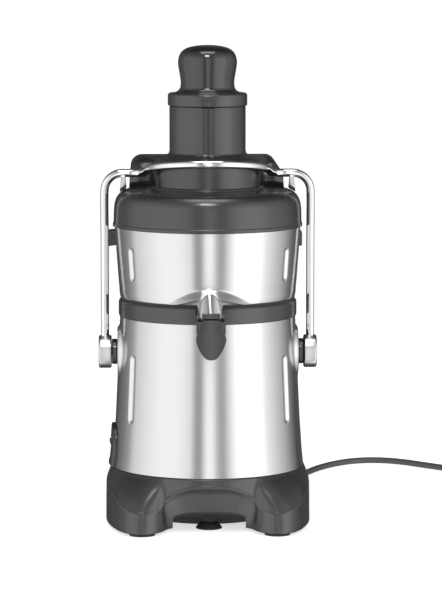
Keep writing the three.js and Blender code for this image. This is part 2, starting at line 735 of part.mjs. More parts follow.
function juiceBowl() {
  const tuck = COLLAR_INSIDE - 0.8;
  const outer = [
    [BOWL_HOLE + SHEET, BOWL_BOTTOM],
    [tuck - 4, BOWL_BOTTOM],
    [tuck, BOWL_BOTTOM + 3],
    [tuck, BOWL_SEAT - 0.6],
    ...BOWL_LINE,
  ];
  const inner = [
    [BOWL_RIM_RADIUS - 4, BOWL_TOP],
    [BOWL_RIM_RADIUS - 4, BOWL_TOP - SHEET],
    [BOWL_RIM_RADIUS - SHEET - 0.2, BOWL_TOP - SHEET - 2.2],
    [BOWL_LOW_RADIUS - SHEET, BOWL_SEAT + SHEET],
    [tuck - SHEET, BOWL_SEAT - 0.6],
    [tuck - SHEET, BOWL_BOTTOM + 3],
    [tuck - 4.6, BOWL_BOTTOM + SHEET],
    [BOWL_HOLE + SHEET + 1, BOWL_BOTTOM + SHEET],
    [BOWL_HOLE + SHEET, BOWL_BOTTOM + 7],
    [BOWL_HOLE, BOWL_BOTTOM + 7],
    [BOWL_HOLE, BOWL_BOTTOM],
    [BOWL_HOLE + SHEET, BOWL_BOTTOM],
  ];
  const plain = solid(turned([...outer, ...inner]));
  const bars = fluteBars(BOWL_LINE, BOWL_FLUTE_HEIGHTS, 0);
  const within = solid(turned([[0, BOWL_SEAT], ...BOWL_LINE, [0, BOWL_TOP]]));
  const backs = fluteBars(BOWL_LINE, BOWL_FLUTE_HEIGHTS, SHEET).intersect(within);
  return plain.add(backs).subtract(bars).subtract(spoutSlab(GAP, 70, SPOUT_REACH));
}

const FLAP_PIN = [-(SPOUT_REACH - 4.5), SPOUT_ROOT_HEIGHT - 9.2];

function pinHole(radius) {
  return solid(bar([-30, ...FLAP_PIN], [30, ...FLAP_PIN], radius, 12));
}

function juiceSpout() {
  const open = spoutSlab(-SPOUT_WALL, SPOUT_ROOT_FORWARD - 30, SPOUT_REACH + 20);
  return spoutSlab(0, SPOUT_ROOT_FORWARD - 3, SPOUT_REACH).subtract(open).subtract(pinHole(FLAP_PIN_RADIUS + 0.2));
}

// A leaf that hangs in front of the spout, with two ears that reach back beside it to the pin.
function spoutFlap() {
  const w = FLAP_HALF_WIDTH;
  const top = FLAP_PIN[1] + 1;
  const low = top - FLAP_DROP;
  const leaf = new THREE.Shape();
  leaf.moveTo(-w + 5, top);
  leaf.lineTo(-w + 5, top - 7);
  leaf.lineTo(-w + 1, top - 11);
  leaf.bezierCurveTo(-w - 1.5, top - 20, -w + 5, low, 0, low);
  leaf.bezierCurveTo(w - 5, low, w + 1.5, top - 20, w - 1, top - 11);
  leaf.lineTo(w - 5, top - 7);
  leaf.lineTo(w - 5, top);
  const front = -(FRONT_REACH - 0.4);
  const blade = solid(slabAlongY(leaf, front, front + FLAP_THICKNESS));
  const inside = SPOUT_HALF_WIDTH + 0.5;
  const ears = both((side) => {
    const [x0, x1] = [side * inside, side * (w - 0.6)].sort((a, b) => a - b);
    const cheek = new THREE.Shape();
    cheek.moveTo(front + 0.4, FLAP_PIN[1] + 2);
    cheek.lineTo(front + 0.4, FLAP_PIN[1] - 14);
    cheek.lineTo(front + 4, FLAP_PIN[1] - 12);
    cheek.lineTo(FLAP_PIN[0] + 3.4, FLAP_PIN[1] - 2);
    cheek.absarc(FLAP_PIN[0], FLAP_PIN[1], 3.6, -0.3, Math.PI / 2);
    return solid(slabAlongX(cheek, x0, x1));
  });
  const bridges = both((side) => {
    const [x0, x1] = [side * (w - 6), side * (w - 0.6)].sort((a, b) => a - b);
    return solid(block([x0, front, FLAP_PIN[1] - 12], [x1, front + FLAP_THICKNESS, FLAP_PIN[1] - 2]));
  });
  return joined([blade, ...ears, ...bridges]).subtract(pinHole(FLAP_PIN_RADIUS + 0.2));
}

function flapPin() {
  const reach = FLAP_HALF_WIDTH;
  return solid(bar([-reach, ...FLAP_PIN], [reach, ...FLAP_PIN], FLAP_PIN_RADIUS, 12));
}

// ---- Basket, disc and drive ----
function filterBasket() {
  const wall = 1.6;
  const [low, high] = [BASKET_BASE_HEIGHT, BASKET_RIM_HEIGHT];
  const profile = [
    [SHAFT_RADIUS + GAP, low],
    [BASKET_BASE_RADIUS, low],
    [BASKET_BASE_RADIUS + 2, low + 3],
    [BASKET_RIM_RADIUS - 1, high - 3],
    [BASKET_RIM_RADIUS + 1.5, high - 3],
    [BASKET_RIM_RADIUS + 1.5, high],
    [BASKET_RIM_RADIUS - 2, high],
    [BASKET_BASE_RADIUS - wall + 1, low + 4],
    [BASKET_BASE_RADIUS - wall - 1, low + 2.4],
    [SHAFT_RADIUS + GAP, low + 2.4],
    [SHAFT_RADIUS + GAP, low],
  ];
  return solid(turned(profile));
}

function gratingDisc() {
  const low = BASKET_BASE_HEIGHT + 2.4 + GAP;
  const plate = solid(ring(SHAFT_RADIUS + GAP, GRATER_RADIUS, low, low + 1.6));
  const teeth = Array.from({ length: 12 }, (_, i) => {
    const tooth = block([16 + (i % 3) * 3, -0.8, low + 1], [GRATER_RADIUS - 3 - (i % 2) * 8, 0.8, low + 3.2]);
    return solid(tooth.rotateZ((i * Math.PI) / 6));
  });
  return joined([plate, ...teeth]);
}

function basketNut() {
  const low = BASKET_BASE_HEIGHT + 4.6 + GAP;
  const profile = [
    [SHAFT_RADIUS + GAP, low],
    [12, low],
    [12, low + 3],
    [9.5, low + 10],
    [SHAFT_RADIUS + GAP, low + 10],
    [SHAFT_RADIUS + GAP, low],
  ];
  return solid(turned(profile, 12));
}

function driveHub() {
  const [low, high] = [BOWL_BOTTOM + 8.5, BASKET_BASE_HEIGHT - GAP];
  const profile = [
    [SHAFT_RADIUS + GAP, low],
    [15, low],
    [15, high - 5],
    [26, high - 3],
    [26, high],
    [SHAFT_RADIUS + GAP, high],
    [SHAFT_RADIUS + GAP, low],
  ];
  return solid(turned(profile, SMALL_ROUND));
}

// ---- Lid ----
const LID_LINE = [
  [LID_RADIUS, LID_BOTTOM],
  [LID_RADIUS, LID_BOTTOM + 2.6],
  [LID_RADIUS - 0.8, LID_BOTTOM + 3.4],
  [LID_RADIUS - 1.2, LID_PLATEAU - 20],
  [LID_RADIUS - 2.3, LID_PLATEAU - 12.5],
  [LID_RADIUS - 4.4, LID_PLATEAU - 7.5],
  [LID_RADIUS - 7.4, LID_PLATEAU - 3.8],
  [LID_RADIUS - 12, LID_PLATEAU - 1],
  [LID_RADIUS - 16, LID_PLATEAU],
  [TURRET_RADIUS + 2.5, LID_PLATEAU + 2],
  [TURRET_RADIUS, LID_PLATEAU + 3.5],
  [TURRET_RADIUS, TURRET_TOP - 2],
  [TURRET_RADIUS - 1.6, TURRET_TOP + 1.4],
  [TURRET_RADIUS - 5, TURRET_TOP + 4],
  [CHUTE_RADIUS + 3, TURRET_TOP + 6.6],
  [CHUTE_RADIUS, TURRET_TOP + 9],
  [CHUTE_RADIUS, CHUTE_TOP],
];

function lidHollowProfile() {
  const t = LID_WALL;
  return [
    [0, LID_BOTTOM - 1],
    [LID_RADIUS - t, LID_BOTTOM - 1],
    [LID_RADIUS - t, LID_BOTTOM + 2.6],
    [LID_RADIUS - 1.2 - t, LID_PLATEAU - 20],
    [LID_RADIUS - 2.6 - t, LID_PLATEAU - 13.5],
    [LID_RADIUS - 5.2 - t, LID_PLATEAU - 9],
    [LID_RADIUS - 9 - t, LID_PLATEAU - 5.2],
    [LID_RADIUS - 16 - t, LID_PLATEAU - t],
    [TURRET_RADIUS - t, LID_PLATEAU + 2 - t],
    [TURRET_RADIUS - t, TURRET_TOP - 3],
    [TURRET_RADIUS - 5 - t, TURRET_TOP + 1.2],
    [0, TURRET_TOP + 1.2],
  ];
}

// The hood that carries pulp over the bowl's back edge and down into the bin.
function hoodSide(inset, front, skirt, floor, floorBack) {
  const [back, top] = [HOOD_BACK - inset, HOOD_TOP - inset];
  const bend = HOOD_BEND;
  const shape = new THREE.Shape();
  shape.moveTo(front, floor);
  shape.lineTo(floorBack, floor);
  shape.lineTo(floorBack, skirt);
  shape.lineTo(back, skirt);
  shape.lineTo(back, top - bend);
  shape.absarc(back - bend, top - bend, bend, 0, Math.PI / 2);
  shape.lineTo(front, top);
  return solid(slabAlongX(shape, -120, 120, 8));
}

function hoodAcross(inset) {
  const [w, top, round] = [HOOD_HALF_WIDTH - inset, HOOD_TOP - inset, HOOD_CORNER - inset];
  const shape = new THREE.Shape();
  shape.moveTo(-w, HOOD_SKIRT - 20);
  shape.lineTo(w, HOOD_SKIRT - 20);
  shape.lineTo(w, top - round);
  shape.absarc(w - round, top - round, round, 0, Math.PI / 2);
  shape.absarc(-w + round, top - round, round, Math.PI / 2, Math.PI);
  return solid(slabAlongY(shape, 0, 250, 6));
}

function chuteRib() {
  const rib = new THREE.Shape().absellipse(0, 0, 7.6, 5, 0, 2 * Math.PI);
  const depth = CHUTE_TOP - TURRET_TOP - 3;
  const made = new THREE.ExtrudeGeometry(rib, { depth, bevelEnabled: false });
  return solid(made.translate(0, -CHUTE_RADIUS + 3.4, TURRET_TOP + 3));
}

const BRIDGE_BACK = BIN_FRONT + 0.6; // the hood's floor covers the gap as far as the bin's front wall

function lid() {
  const t = LID_WALL;
  const dome = solid(turned([[0, LID_BOTTOM], ...LID_LINE, [0, CHUTE_TOP]]));
  const hood = hoodSide(0, HOOD_FRONT, HOOD_SKIRT, LID_BOTTOM + 1, BRIDGE_BACK - t).intersect(hoodAcross(0));
  const hollow = solid(turned(lidHollowProfile()));
  const hollowSide = hoodSide(t, HOOD_FRONT + t, HOOD_SKIRT - 10, LID_BOTTOM + 5, BRIDGE_BACK);
  const hoodHollow = hollowSide.intersect(hoodAcross(t));
  const chute = solid(ring(CHUTE_RADIUS - CHUTE_WALL, CHUTE_RADIUS, CHUTE_BOTTOM, CHUTE_TOP));
  const bore = solid(drum(CHUTE_RADIUS - CHUTE_WALL, CHUTE_BOTTOM - 5, CHUTE_TOP + 5, ROUND));
  const shell = joined([dome, hood, chuteRib()]).subtract(hollow.add(hoodHollow));
  return shell.add(chute).subtract(bore);
}

function lidGasket() {
  return solid(ring(BOWL_RIM_RADIUS - 3.6, LID_RADIUS - LID_WALL - 0.6, BOWL_TOP + GAP, BOWL_TOP + 3));
}

// ---- Pusher ----
const PUSHER_RADIUS = CHUTE_RADIUS - CHUTE_WALL - PUSHER_CLEARANCE;

function pusher() {
  const inner = PUSHER_RADIUS - PUSHER_WALL;
  const low = FLANGE_TOP - PUSHER_LENGTH - PUSHER_FLANGE_HEIGHT;
  const profile = [
    [0, low],
    [PUSHER_RADIUS - 2, low],
    [PUSHER_RADIUS, low + 2],
    [PUSHER_RADIUS, FLANGE_BOTTOM],
    [PUSHER_FLANGE_RADIUS, FLANGE_BOTTOM],
    [PUSHER_FLANGE_RADIUS, FLANGE_TOP - 1],
    [PUSHER_FLANGE_RADIUS - 1, FLANGE_TOP],
    [inner, FLANGE_TOP],
    [inner, low + PUSHER_WALL],
    [0, low + PUSHER_WALL],
  ];
  return solid(turned(profile));
}

function pusherKnob() {
  const low = FLANGE_TOP + GAP;
  const top = low + KNOB_HEIGHT;
  const plug = PUSHER_RADIUS - PUSHER_WALL - 0.4;
  const profile = [
    [0, low - 6],
    [plug, low - 6],
    [plug, low],
    [PUSHER_RADIUS + 0.5, low],
    [KNOB_RADIUS - 1.4, low + 3.6],
    [KNOB_RADIUS - 2.7, low + 7],
    [KNOB_RADIUS - 2.6, low + 13],
    [KNOB_RADIUS - 1, low + 22],
    [KNOB_RADIUS, low + 31],
    [KNOB_RADIUS - 0.8, low + 37.5],
    [KNOB_RADIUS - 4, low + 43.5],
    [KNOB_RADIUS - 9, low + 47.4],
    [KNOB_RADIUS - 18, low + 49.6],
    [0, top],
  ];
  return solid(turned(profile, 24));
}

// ---- Bail ----
function bailPath() {
  const start = PIVOT_HEIGHT + HUB_RADIUS + GAP;
  const half = [
    [ROD_X, 0, start],
    [ROD_X, 0, 260],
    [ROD_X, 0, ROD_TOP - ROD_BEND],
    [ROD_X - 0.29 * ROD_BEND, 0, ROD_TOP - 0.29 * ROD_BEND],
    [ROD_X - ROD_BEND, 0, ROD_TOP],
    [ELBOW_X, 0, ROD_TOP],
    [RING_RADIUS + 4, -4.5, ROD_TOP + 0.8],
    [RING_RADIUS - 1, -14, ROD_TOP + 2.2],
  ];
  const arc = [22, 37, 53, 71].map((degrees) => {
    const a = THREE.MathUtils.degToRad(degrees);
    const forward = RING_RADIUS * Math.sin(a);
    return [RING_RADIUS * Math.cos(a), -forward, ROD_TOP + RING_RISE * (forward / RING_RADIUS)];
  });
  const right = [...half, ...arc];
  const left = right.map(([x, y, z]) => [-x, y, z]).reverse();
  const front = [0, -RING_RADIUS, ROD_TOP + RING_RISE];
  return [...right, front, ...left].map((p) => new THREE.Vector3(...p));
}

function bailRod() {
  return solid(sweep(bailPath(), ROD_RADIUS, 60, 8));
}

// Turned about the pivot line, [radius, distance from the middle] points.
function turnedAlongX(profile, side, segments = SMALL_ROUND) {
  return solid(turned(profile, segments).rotateY((side * Math.PI) / 2).translate(0, 0, PIVOT_HEIGHT));
}

const HUB_OUTER_X = HUB_INNER_X + HUB_WIDTH;
const BOLT_HEAD_RADIUS = 7;

function bailHub(side) {
  const bore = PIVOT_BOLT_RADIUS + 0.4;
  const profile = [
    [bore, HUB_INNER_X],
    [HUB_RADIUS - 0.8, HUB_INNER_X],
    [HUB_RADIUS, HUB_INNER_X + 0.8],
    [HUB_RADIUS, HUB_OUTER_X - 0.8],
    [HUB_RADIUS - 0.8, HUB_OUTER_X],
    [BOLT_HEAD_RADIUS + 0.5, HUB_OUTER_X],
    [BOLT_HEAD_RADIUS + 0.5, HUB_OUTER_X - 4.6],
    [bore, HUB_OUTER_X - 4.6],
    [bore, HUB_INNER_X],
  ];
  return turnedAlongX(profile, side, MIDDLE_ROUND);
}

function pivotBolt(side) {
  const profile = [
    [0, 86],
    [PIVOT_BOLT_RADIUS, 86],
    [PIVOT_BOLT_RADIUS, HUB_OUTER_X - 4.2],
    [BOLT_HEAD_RADIUS, HUB_OUTER_X - 4.2],
    [BOLT_HEAD_RADIUS, HUB_OUTER_X - 0.8],
    [0, HUB_OUTER_X - 0.8],
  ];
  return turnedAlongX(profile, side);
}

const SPACER_INNER_X = radiusAt(HOUSING_LINE, PIVOT_HEIGHT - SPACER_RADIUS) + 0.4;

function pivotSpacer(side) {
  const bore = PIVOT_BOLT_RADIUS + 0.4;
  const profile = [
    [bore, SPACER_INNER_X],
    [SPACER_RADIUS, SPACER_INNER_X],
    [SPACER_RADIUS, HUB_INNER_X - GAP],
    [bore, HUB_INNER_X - GAP],
    [bore, SPACER_INNER_X],
  ];
  return turnedAlongX(profile, side);
}

// A strip welded under the bail's arm, with a pad at its foot that bears on the lid's shoulder.
const PAD_HEIGHT = 3.2;
const PAD_LIFT_INSIDE = 1.5; // clear of the lid all the way as the bail swings
const PAD_LIFT_OUTSIDE = 0.8;
const PAD_LOW_INSIDE = heightAt(LID_LINE, FINGER_X - FINGER_BOTTOM_WIDTH / 2) + PAD_LIFT_INSIDE;
const PAD_LOW_OUTSIDE = heightAt(LID_LINE, FINGER_X + FINGER_BOTTOM_WIDTH / 2) + PAD_LIFT_OUTSIDE;

function fingerShape(topWidth, bottomWidth, top, lowInside, lowOutside) {
  const shape = new THREE.Shape();
  shape.moveTo(-bottomWidth / 2, lowInside);
  shape.lineTo(bottomWidth / 2, lowOutside);
  shape.lineTo(topWidth / 2, top);
  shape.lineTo(-topWidth / 2, top);
  return shape;
}

function mirroredTo(side, geometry) {
  return side > 0 ? geometry : geometry.rotateZ(Math.PI);
}

function holdDownFinger(side) {
  const [inside, outside] = [PAD_LOW_INSIDE + PAD_HEIGHT + GAP, PAD_LOW_OUTSIDE + PAD_HEIGHT + GAP];
  const shape = fingerShape(FINGER_TOP_WIDTH, FINGER_BOTTOM_WIDTH, ROD_TOP - ROD_RADIUS - 2 * GAP, inside, outside);
  return solid(mirroredTo(side, slabAlongY(shape, -5, 5).translate(FINGER_X, 0, 0)));
}

function fingerPad(side) {
  const w = FINGER_BOTTOM_WIDTH;
  const shape = new THREE.Shape();
  shape.moveTo(-w / 2, PAD_LOW_INSIDE);
  shape.lineTo(w / 2, PAD_LOW_OUTSIDE);
  shape.lineTo(w / 2, PAD_LOW_OUTSIDE + PAD_HEIGHT);
  shape.lineTo(-w / 2, PAD_LOW_INSIDE + PAD_HEIGHT);
  return solid(mirroredTo(side, slabAlongY(shape, -6, 6).translate(FINGER_X, 0, 0)));
}

// ---- Pulp bin ----
function binRing(inset, halfWidth, front, back, z) {
  const corner = 22 - inset;
  const [w, y0, y1] = [halfWidth - inset, front + inset, back - inset];
  const corners = [
    [w - corner, y0 + corner, -90],
    [w - corner, y1 - corner, 0],
    [-w + corner, y1 - corner, 90],
    [-w + corner, y0 + corner, 180],
  ];
  return corners.flatMap(([x, y, start]) => {
    return [0, 1, 2, 3, 4].map((step) => {
      const a = THREE.MathUtils.degToRad(start + step * 22.5);
      return [x + corner * Math.cos(a), y + corner * Math.sin(a), z];
    });
  });
}

function pulpBin() {
  const [front, back] = [BIN_FRONT, BIN_FRONT + BIN_DEPTH];
  const [low, high] = [0.4, BIN_HEIGHT];
  const narrow = BIN_HALF_WIDTH - BIN_TAPER;
  const cup = solid(
    loft([
      binRing(0, narrow, front + 1, back - BIN_TAPER, low),
      binRing(0, BIN_HALF_WIDTH, front, back, high),
      binRing(BIN_WALL, BIN_HALF_WIDTH, front, back, high),
      binRing(BIN_WALL, narrow, front + 1, back - BIN_TAPER, low + BIN_WALL),
    ]),
  );
  const middle = (front + back) / 2;
  const lugs = both((side) => {
    const shape = new THREE.Shape();
    const inner = BIN_HALF_WIDTH - 1.2;
    shape.moveTo(inner, BIN_HEIGHT - 4);
    shape.lineTo(inner, BIN_HEIGHT - 20);
    shape.lineTo(BIN_LUG_X, BIN_HEIGHT - 23);
    shape.lineTo(BIN_LUG_X, BIN_HEIGHT - 6);
    return solid(mirroredTo(side, slabAlongY(shape, -15, 15)).translate(0, middle, 0));
  });
  return joined([cup, ...lugs]);
}

// ---- Cord ----
// Points along the free lead, from the strain relief to the coil, on the floor after its first drop.
const LEAD_ROUTE = [
  [112.5, 131, 22],
  [114, 143, 14],
  [114.5, 158, 6.5],
  [114, 174, CORD_HEIGHT],
  [112, 198, CORD_HEIGHT],
  [112, 221, CORD_HEIGHT],
  [114, 243, CORD_HEIGHT],
  [119, 266, CORD_HEIGHT],
  [129, 291, CORD_HEIGHT],
  [144, 318, CORD_HEIGHT],
  [162, 341, CORD_HEIGHT],
  [182, 357, CORD_HEIGHT],
  [204, 363, CORD_HEIGHT],
  [226, 358, CORD_HEIGHT],
  [246, 344, CORD_HEIGHT],
  [262, 328, CORD_HEIGHT],
  [276, 314, CORD_HEIGHT],
];

const COIL_OUTSIDE = COIL_RADIUS + COIL_TURNS_ACROSS * CORD_RADIUS + GAP;
const COIL_TOP = 2 * COIL_LAYERS * CORD_RADIUS + 0.6;
const RELIEF_LENGTH = 38;

function strainRelief() {
  const profile = [
    [0, -9],
    [GLAND_RADIUS, -9],
    [GLAND_RADIUS, 1.2],
    [9.5, 1.2],
    [9.5, 4],
    [6.5, 5.5],
    [4.6, RELIEF_LENGTH],
    [0, RELIEF_LENGTH],
  ];
  const turn = new THREE.Quaternion().setFromUnitVectors(new THREE.Vector3(0, 0, 1), CORD_WAY);
  const made = turned(profile, SMALL_ROUND).applyQuaternion(turn);
  return solid(made.translate(...CORD_EXIT.toArray()));
}

// Where the lead stops short of the coil, on the line that touches the outer turn.
function leadEnd() {
  const angle = THREE.MathUtils.degToRad(COIL_ENTRY);
  const turn = COIL_RADIUS + (COIL_TURNS_ACROSS - 1) * CORD_RADIUS;
  const clear = Math.sqrt(COIL_OUTSIDE ** 2 - (turn - CORD_RADIUS) ** 2) + 2 * GAP;
  const outward = new THREE.Vector3(Math.cos(angle), Math.sin(angle), 0);
  const heading = new THREE.Vector3(-Math.sin(angle), Math.cos(angle), 0);
  const middle = new THREE.Vector3(COIL_CENTRE[0], COIL_CENTRE[1], CORD_HEIGHT);
  return middle.addScaledVector(outward, turn).addScaledVector(heading, -clear);
}

function cordLead() {
  const start = new THREE.Vector3(...along(CORD_EXIT, CORD_WAY, RELIEF_LENGTH + GAP));
  const second = new THREE.Vector3(...along(CORD_EXIT, CORD_WAY, RELIEF_LENGTH + 4));
  const route = LEAD_ROUTE.map((p) => new THREE.Vector3(...p));
  return solid(sweep([start, second, ...route, leadEnd()], CORD_RADIUS, 36, 8));
}

function cordCoil() {
  const [x, y] = COIL_CENTRE;
  return solid(ring(2 * COIL_RADIUS - COIL_OUTSIDE, COIL_OUTSIDE, 1.4, COIL_TOP, 28).translate(x, y, 0));
}

function cordTie() {
  const [x, y] = COIL_CENTRE;
  const half = COIL_OUTSIDE - COIL_RADIUS + 3 * GAP;
  const high = COIL_TOP + GAP;
  const band = block([x - 5, y + COIL_RADIUS - half - 1, 0.1], [x + 5, y + COIL_RADIUS + half + 1, high + 0.8]);
  const window = block([x - 9, y + COIL_RADIUS - half, 1], [x + 9, y + COIL_RADIUS + half, high]);
  return solid(band).subtract(solid(window));
}

const PLUG_BOTTOM = COIL_TOP + GAP;
const PLUG_LENGTH = 34;
const PIN_SPREAD = 9.5; // from the plug's middle
const PIN_RADIUS = 2.4;
const PLUG_CENTRE = [COIL_CENTRE[0] + 23, COIL_CENTRE[1] - COIL_RADIUS, PLUG_BOTTOM + 12.8];

function plugBody() {
  const outline = new THREE.Shape();
  const [w, h, round] = [17, 12.8, 6];
  outline.absarc(w - round, h - round, round, 0, Math.PI / 2);
  outline.absarc(-w + round, h - round, round, Math.PI / 2, Math.PI);
  outline.absarc(-w + round, -h + round, round, Math.PI, 1.5 * Math.PI);
  outline.absarc(w - round, -h + round, round, 1.5 * Math.PI, 2 * Math.PI);
  const shell = new THREE.ExtrudeGeometry(outline, { depth: PLUG_LENGTH, bevelEnabled: false, curveSegments: 3 });
  const body = solid(shell.rotateY(Math.PI / 2).rotateX(Math.PI / 2).translate(-PLUG_LENGTH / 2, 0, 0));
  const neck = solid(bar([-PLUG_LENGTH / 2 - 14, 0, 0], [-PLUG_LENGTH / 2 + 1, 0, 0], 5, 12));
  const holes = both((side) => {
    const [from, to] = [PLUG_LENGTH / 2 - 6, PLUG_LENGTH / 2 + 5];
    return solid(bar([from, side * PIN_SPREAD, 0], [to, side * PIN_SPREAD, 0], PIN_RADIUS + GAP, 12));
  });
  return body.add(neck).subtract(joined(holes)).translate(PLUG_CENTRE);
}

function plugPin(side) {
  const [from, to] = [PLUG_LENGTH / 2 - 5.5, PLUG_LENGTH / 2 + 19];
  const pin = solid(bar([from, side * PIN_SPREAD, 0], [to, side * PIN_SPREAD, 0], PIN_RADIUS, 12));
  return pin.translate(PLUG_CENTRE);
}

// ---- The whole machine ----
add("base_shell", baseShell(), MOULDED);
add("bottom_cover", bottomCover(), MOULDED);
FEET.forEach(([name, x, y]) => add(`foot_${name}`, rubberFoot(x, y), RUBBER));
add("centre_foot", centreFoot(), RUBBER);
SCREWS.forEach(([x, y], i) => add(`cover_screw_${i + 1}`, coverScrew(x, y), SATIN));
add("motor_plate", motorPlate(), CAST);
add("end_bell_lower", endBell(MOTOR_BOTTOM, true), CAST);
add("end_bell_upper", endBell(STATOR_TOP + GAP, false), CAST);
add("bearing_lower", bearing(MOTOR_BOTTOM + BELL_HEIGHT - BEARING_HEIGHT), SATIN);
add("bearing_upper", bearing(STATOR_TOP + 2 * GAP), SATIN);
add("stator", stator(), IRON);
add("run_capacitor", solid(drum(13, BASE_TOP + GAP, 130).translate(0, 81, 0)), GLOSSY);
add("safety_switch", solid(block([70, 12, PIVOT_HEIGHT - 6], [84, 34, PIVOT_HEIGHT + 10])), GLOSSY);
add("motor_housing", motorHousing(), STEEL);
add("switch_bezel", switchBezel(), MOULDED);
add("switch_body", solid(block([-94, -9, SWITCH_HEIGHT - 10], [-70, 9, SWITCH_HEIGHT + 10])), GLOSSY);
add("switch_rocker", switchRocker(), GLOSSY);
add("collar_ring", collarRing(), MOULDED);
add("top_deck", topDeck(), CAST);
add("shaft_seal", solid(ring(SHAFT_RADIUS + 0.4, SEAL_RADIUS, DECK_BOTTOM, DECK_TOP, SMALL_ROUND)), RUBBER);
add("motor_shaft", solid(drum(SHAFT_RADIUS, MOTOR_BOTTOM - 2, SHAFT_TOP)), SATIN);
add("rotor_core", rotorCore(), IRON);
add("cooling_fan", fan(), MOULDED);
add("drive_hub", driveHub(), CAST);
add("filter_basket", filterBasket(), STEEL);
add("grating_disc", gratingDisc(), STEEL);
add("basket_nut", basketNut(), SATIN);
add("juice_bowl", juiceBowl(), STEEL);
add("juice_spout", juiceSpout(), STEEL);
add("flap_pin", flapPin(), SATIN);
add("spout_flap", spoutFlap(), MOULDED);
add("lid", lid(), MOULDED);
add("lid_gasket", lidGasket(), RUBBER);
add("pusher", pusher(), MOULDED);
add("pusher_knob", pusherKnob(), GLOSSY);
add("bail_rod", bailRod(), CHROME);
both((side, name) => {
  add(`bail_hub_${name}`, bailHub(side), SATIN);
  add(`pivot_bolt_${name}`, pivotBolt(side), SATIN);
  add(`pivot_spacer_${name}`, pivotSpacer(side), MOULDED);
  add(`hold_down_finger_${name}`, holdDownFinger(side), SATIN);
  add(`finger_pad_${name}`, fingerPad(side), RUBBER);
});
add("pulp_bin", pulpBin(), MOULDED);
add("strain_relief", strainRelief(), RUBBER);
add("cord_lead", cordLead(), CORD);
add("cord_coil", cordCoil(), CORD);
add("cord_tie", cordTie(), RUBBER);
add("plug_body", plugBody(), GLOSSY);
both((side, name) => add(`plug_pin_${name}`, plugPin(side), BRASS));

export default root;
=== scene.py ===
"""A centrifugal juicer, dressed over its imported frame.

The machine stands on a pale floor with its spout towards -Y. Sizes in the classes are millimetres
about the machine's turning axis, and Bench turns a finished bmesh into an object in metres.
"""

import logging
import math
from dataclasses import dataclass, field
from enum import Enum
from typing import Callable, Iterable, Sequence

import bmesh
import bpy
from mathutils import Matrix, Vector


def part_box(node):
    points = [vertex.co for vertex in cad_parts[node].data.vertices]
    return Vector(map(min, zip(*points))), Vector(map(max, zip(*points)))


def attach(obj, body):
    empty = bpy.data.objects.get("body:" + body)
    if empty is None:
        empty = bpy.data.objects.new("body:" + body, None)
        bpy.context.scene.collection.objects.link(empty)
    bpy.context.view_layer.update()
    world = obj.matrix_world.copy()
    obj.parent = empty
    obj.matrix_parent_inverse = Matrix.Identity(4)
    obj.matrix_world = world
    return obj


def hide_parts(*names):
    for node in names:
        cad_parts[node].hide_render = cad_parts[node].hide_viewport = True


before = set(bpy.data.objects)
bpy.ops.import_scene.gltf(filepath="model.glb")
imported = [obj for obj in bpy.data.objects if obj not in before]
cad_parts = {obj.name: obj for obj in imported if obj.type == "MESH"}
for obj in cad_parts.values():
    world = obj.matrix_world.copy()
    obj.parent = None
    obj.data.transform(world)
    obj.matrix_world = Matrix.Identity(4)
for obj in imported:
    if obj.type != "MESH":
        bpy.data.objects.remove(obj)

LOG = logging.getLogger("juicer")
MM = 0.001
Point2 = tuple[float, float]
Point3 = tuple[float, float, float]
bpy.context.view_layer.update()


class Body(Enum):
    """The rigid bodies that pieces ride on."""

    MACHINE = "machine"
    BAIL = "bail"
    PUSHER = "pusher"
    FLAP = "flap"
    ROCKER = "rocker"
    ROTOR = "rotor"
    BIN = "bin"


class Finish(Enum):
    """The finishes, each with the record's material slot that it belongs to."""

    STEEL = ("steel", "steel")
    INNER_STEEL = ("inner_steel", "steel")
    CHROME = ("chrome", "chrome")
    SATIN = ("satin", "satin")
    PLASTIC = ("plastic", "moulded")
    BASE_PLASTIC = ("base_plastic", "moulded")
    GLOSS = ("gloss", "glossy")
    RUBBER = ("rubber", "rubber")
    CAST = ("cast", "cast")
    IRON = ("iron", "iron")
    BRASS = ("brass", "brass")
    JACKET = ("jacket", "cord")

    @property
    def slot(self) -> str:
        """The record's material slot."""
        return self.value[1]


# ---------------------------------------------------------------- places taken from the frame


def middle_of(node: str) -> Vector:
    """The middle of a CAD node's box, in metres."""
    low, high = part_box(node)
    return (low + high) / 2


AXIS_Y = middle_of("top_deck").y
PIVOT_HEIGHT = middle_of("bail_hub_right").z / MM


def top_of(node: str) -> float:
    """The height of a node's top, in millimetres."""
    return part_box(node)[1].z / MM


def bottom_of(node: str) -> float:
    """The height of a node's underside, in millimetres."""
    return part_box(node)[0].z / MM


def local_box(node: str) -> tuple[Vector, Vector]:
    """A node's box in millimetres about the machine's axis.

    Args:
        node: The CAD node's name.

    Returns:
        Its lowest and highest corners.
    """
    shift = Vector((0, AXIS_Y, 0))
    low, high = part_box(node)
    return (low - shift) / MM, (high - shift) / MM


def smoothstep(low: float, high: float, value: float) -> float:
    """0 at low, 1 at high and a soft S between them."""
    t = min(1.0, max(0.0, (value - low) / (high - low)))
    return t * t * (3 - 2 * t)


def lerp(a: float, b: float, t: float) -> float:
    """The value a share t of the way from a to b."""
    return a + (b - a) * t


def read_line(line: Sequence[Point2], z: float) -> float:
    """The radius of a wall at a height.

    Args:
        line: (radius, height) points from the lowest to the highest.
        z: The height.

    Returns:
        The radius, held at the line's ends.
    """
    if z <= line[0][1]:
        return line[0][0]
    for (r0, z0), (r1, z1) in zip(line, line[1:]):
        if z <= z1:
            return lerp(r0, r1, (z - z0) / (z1 - z0))
    return line[-1][0]


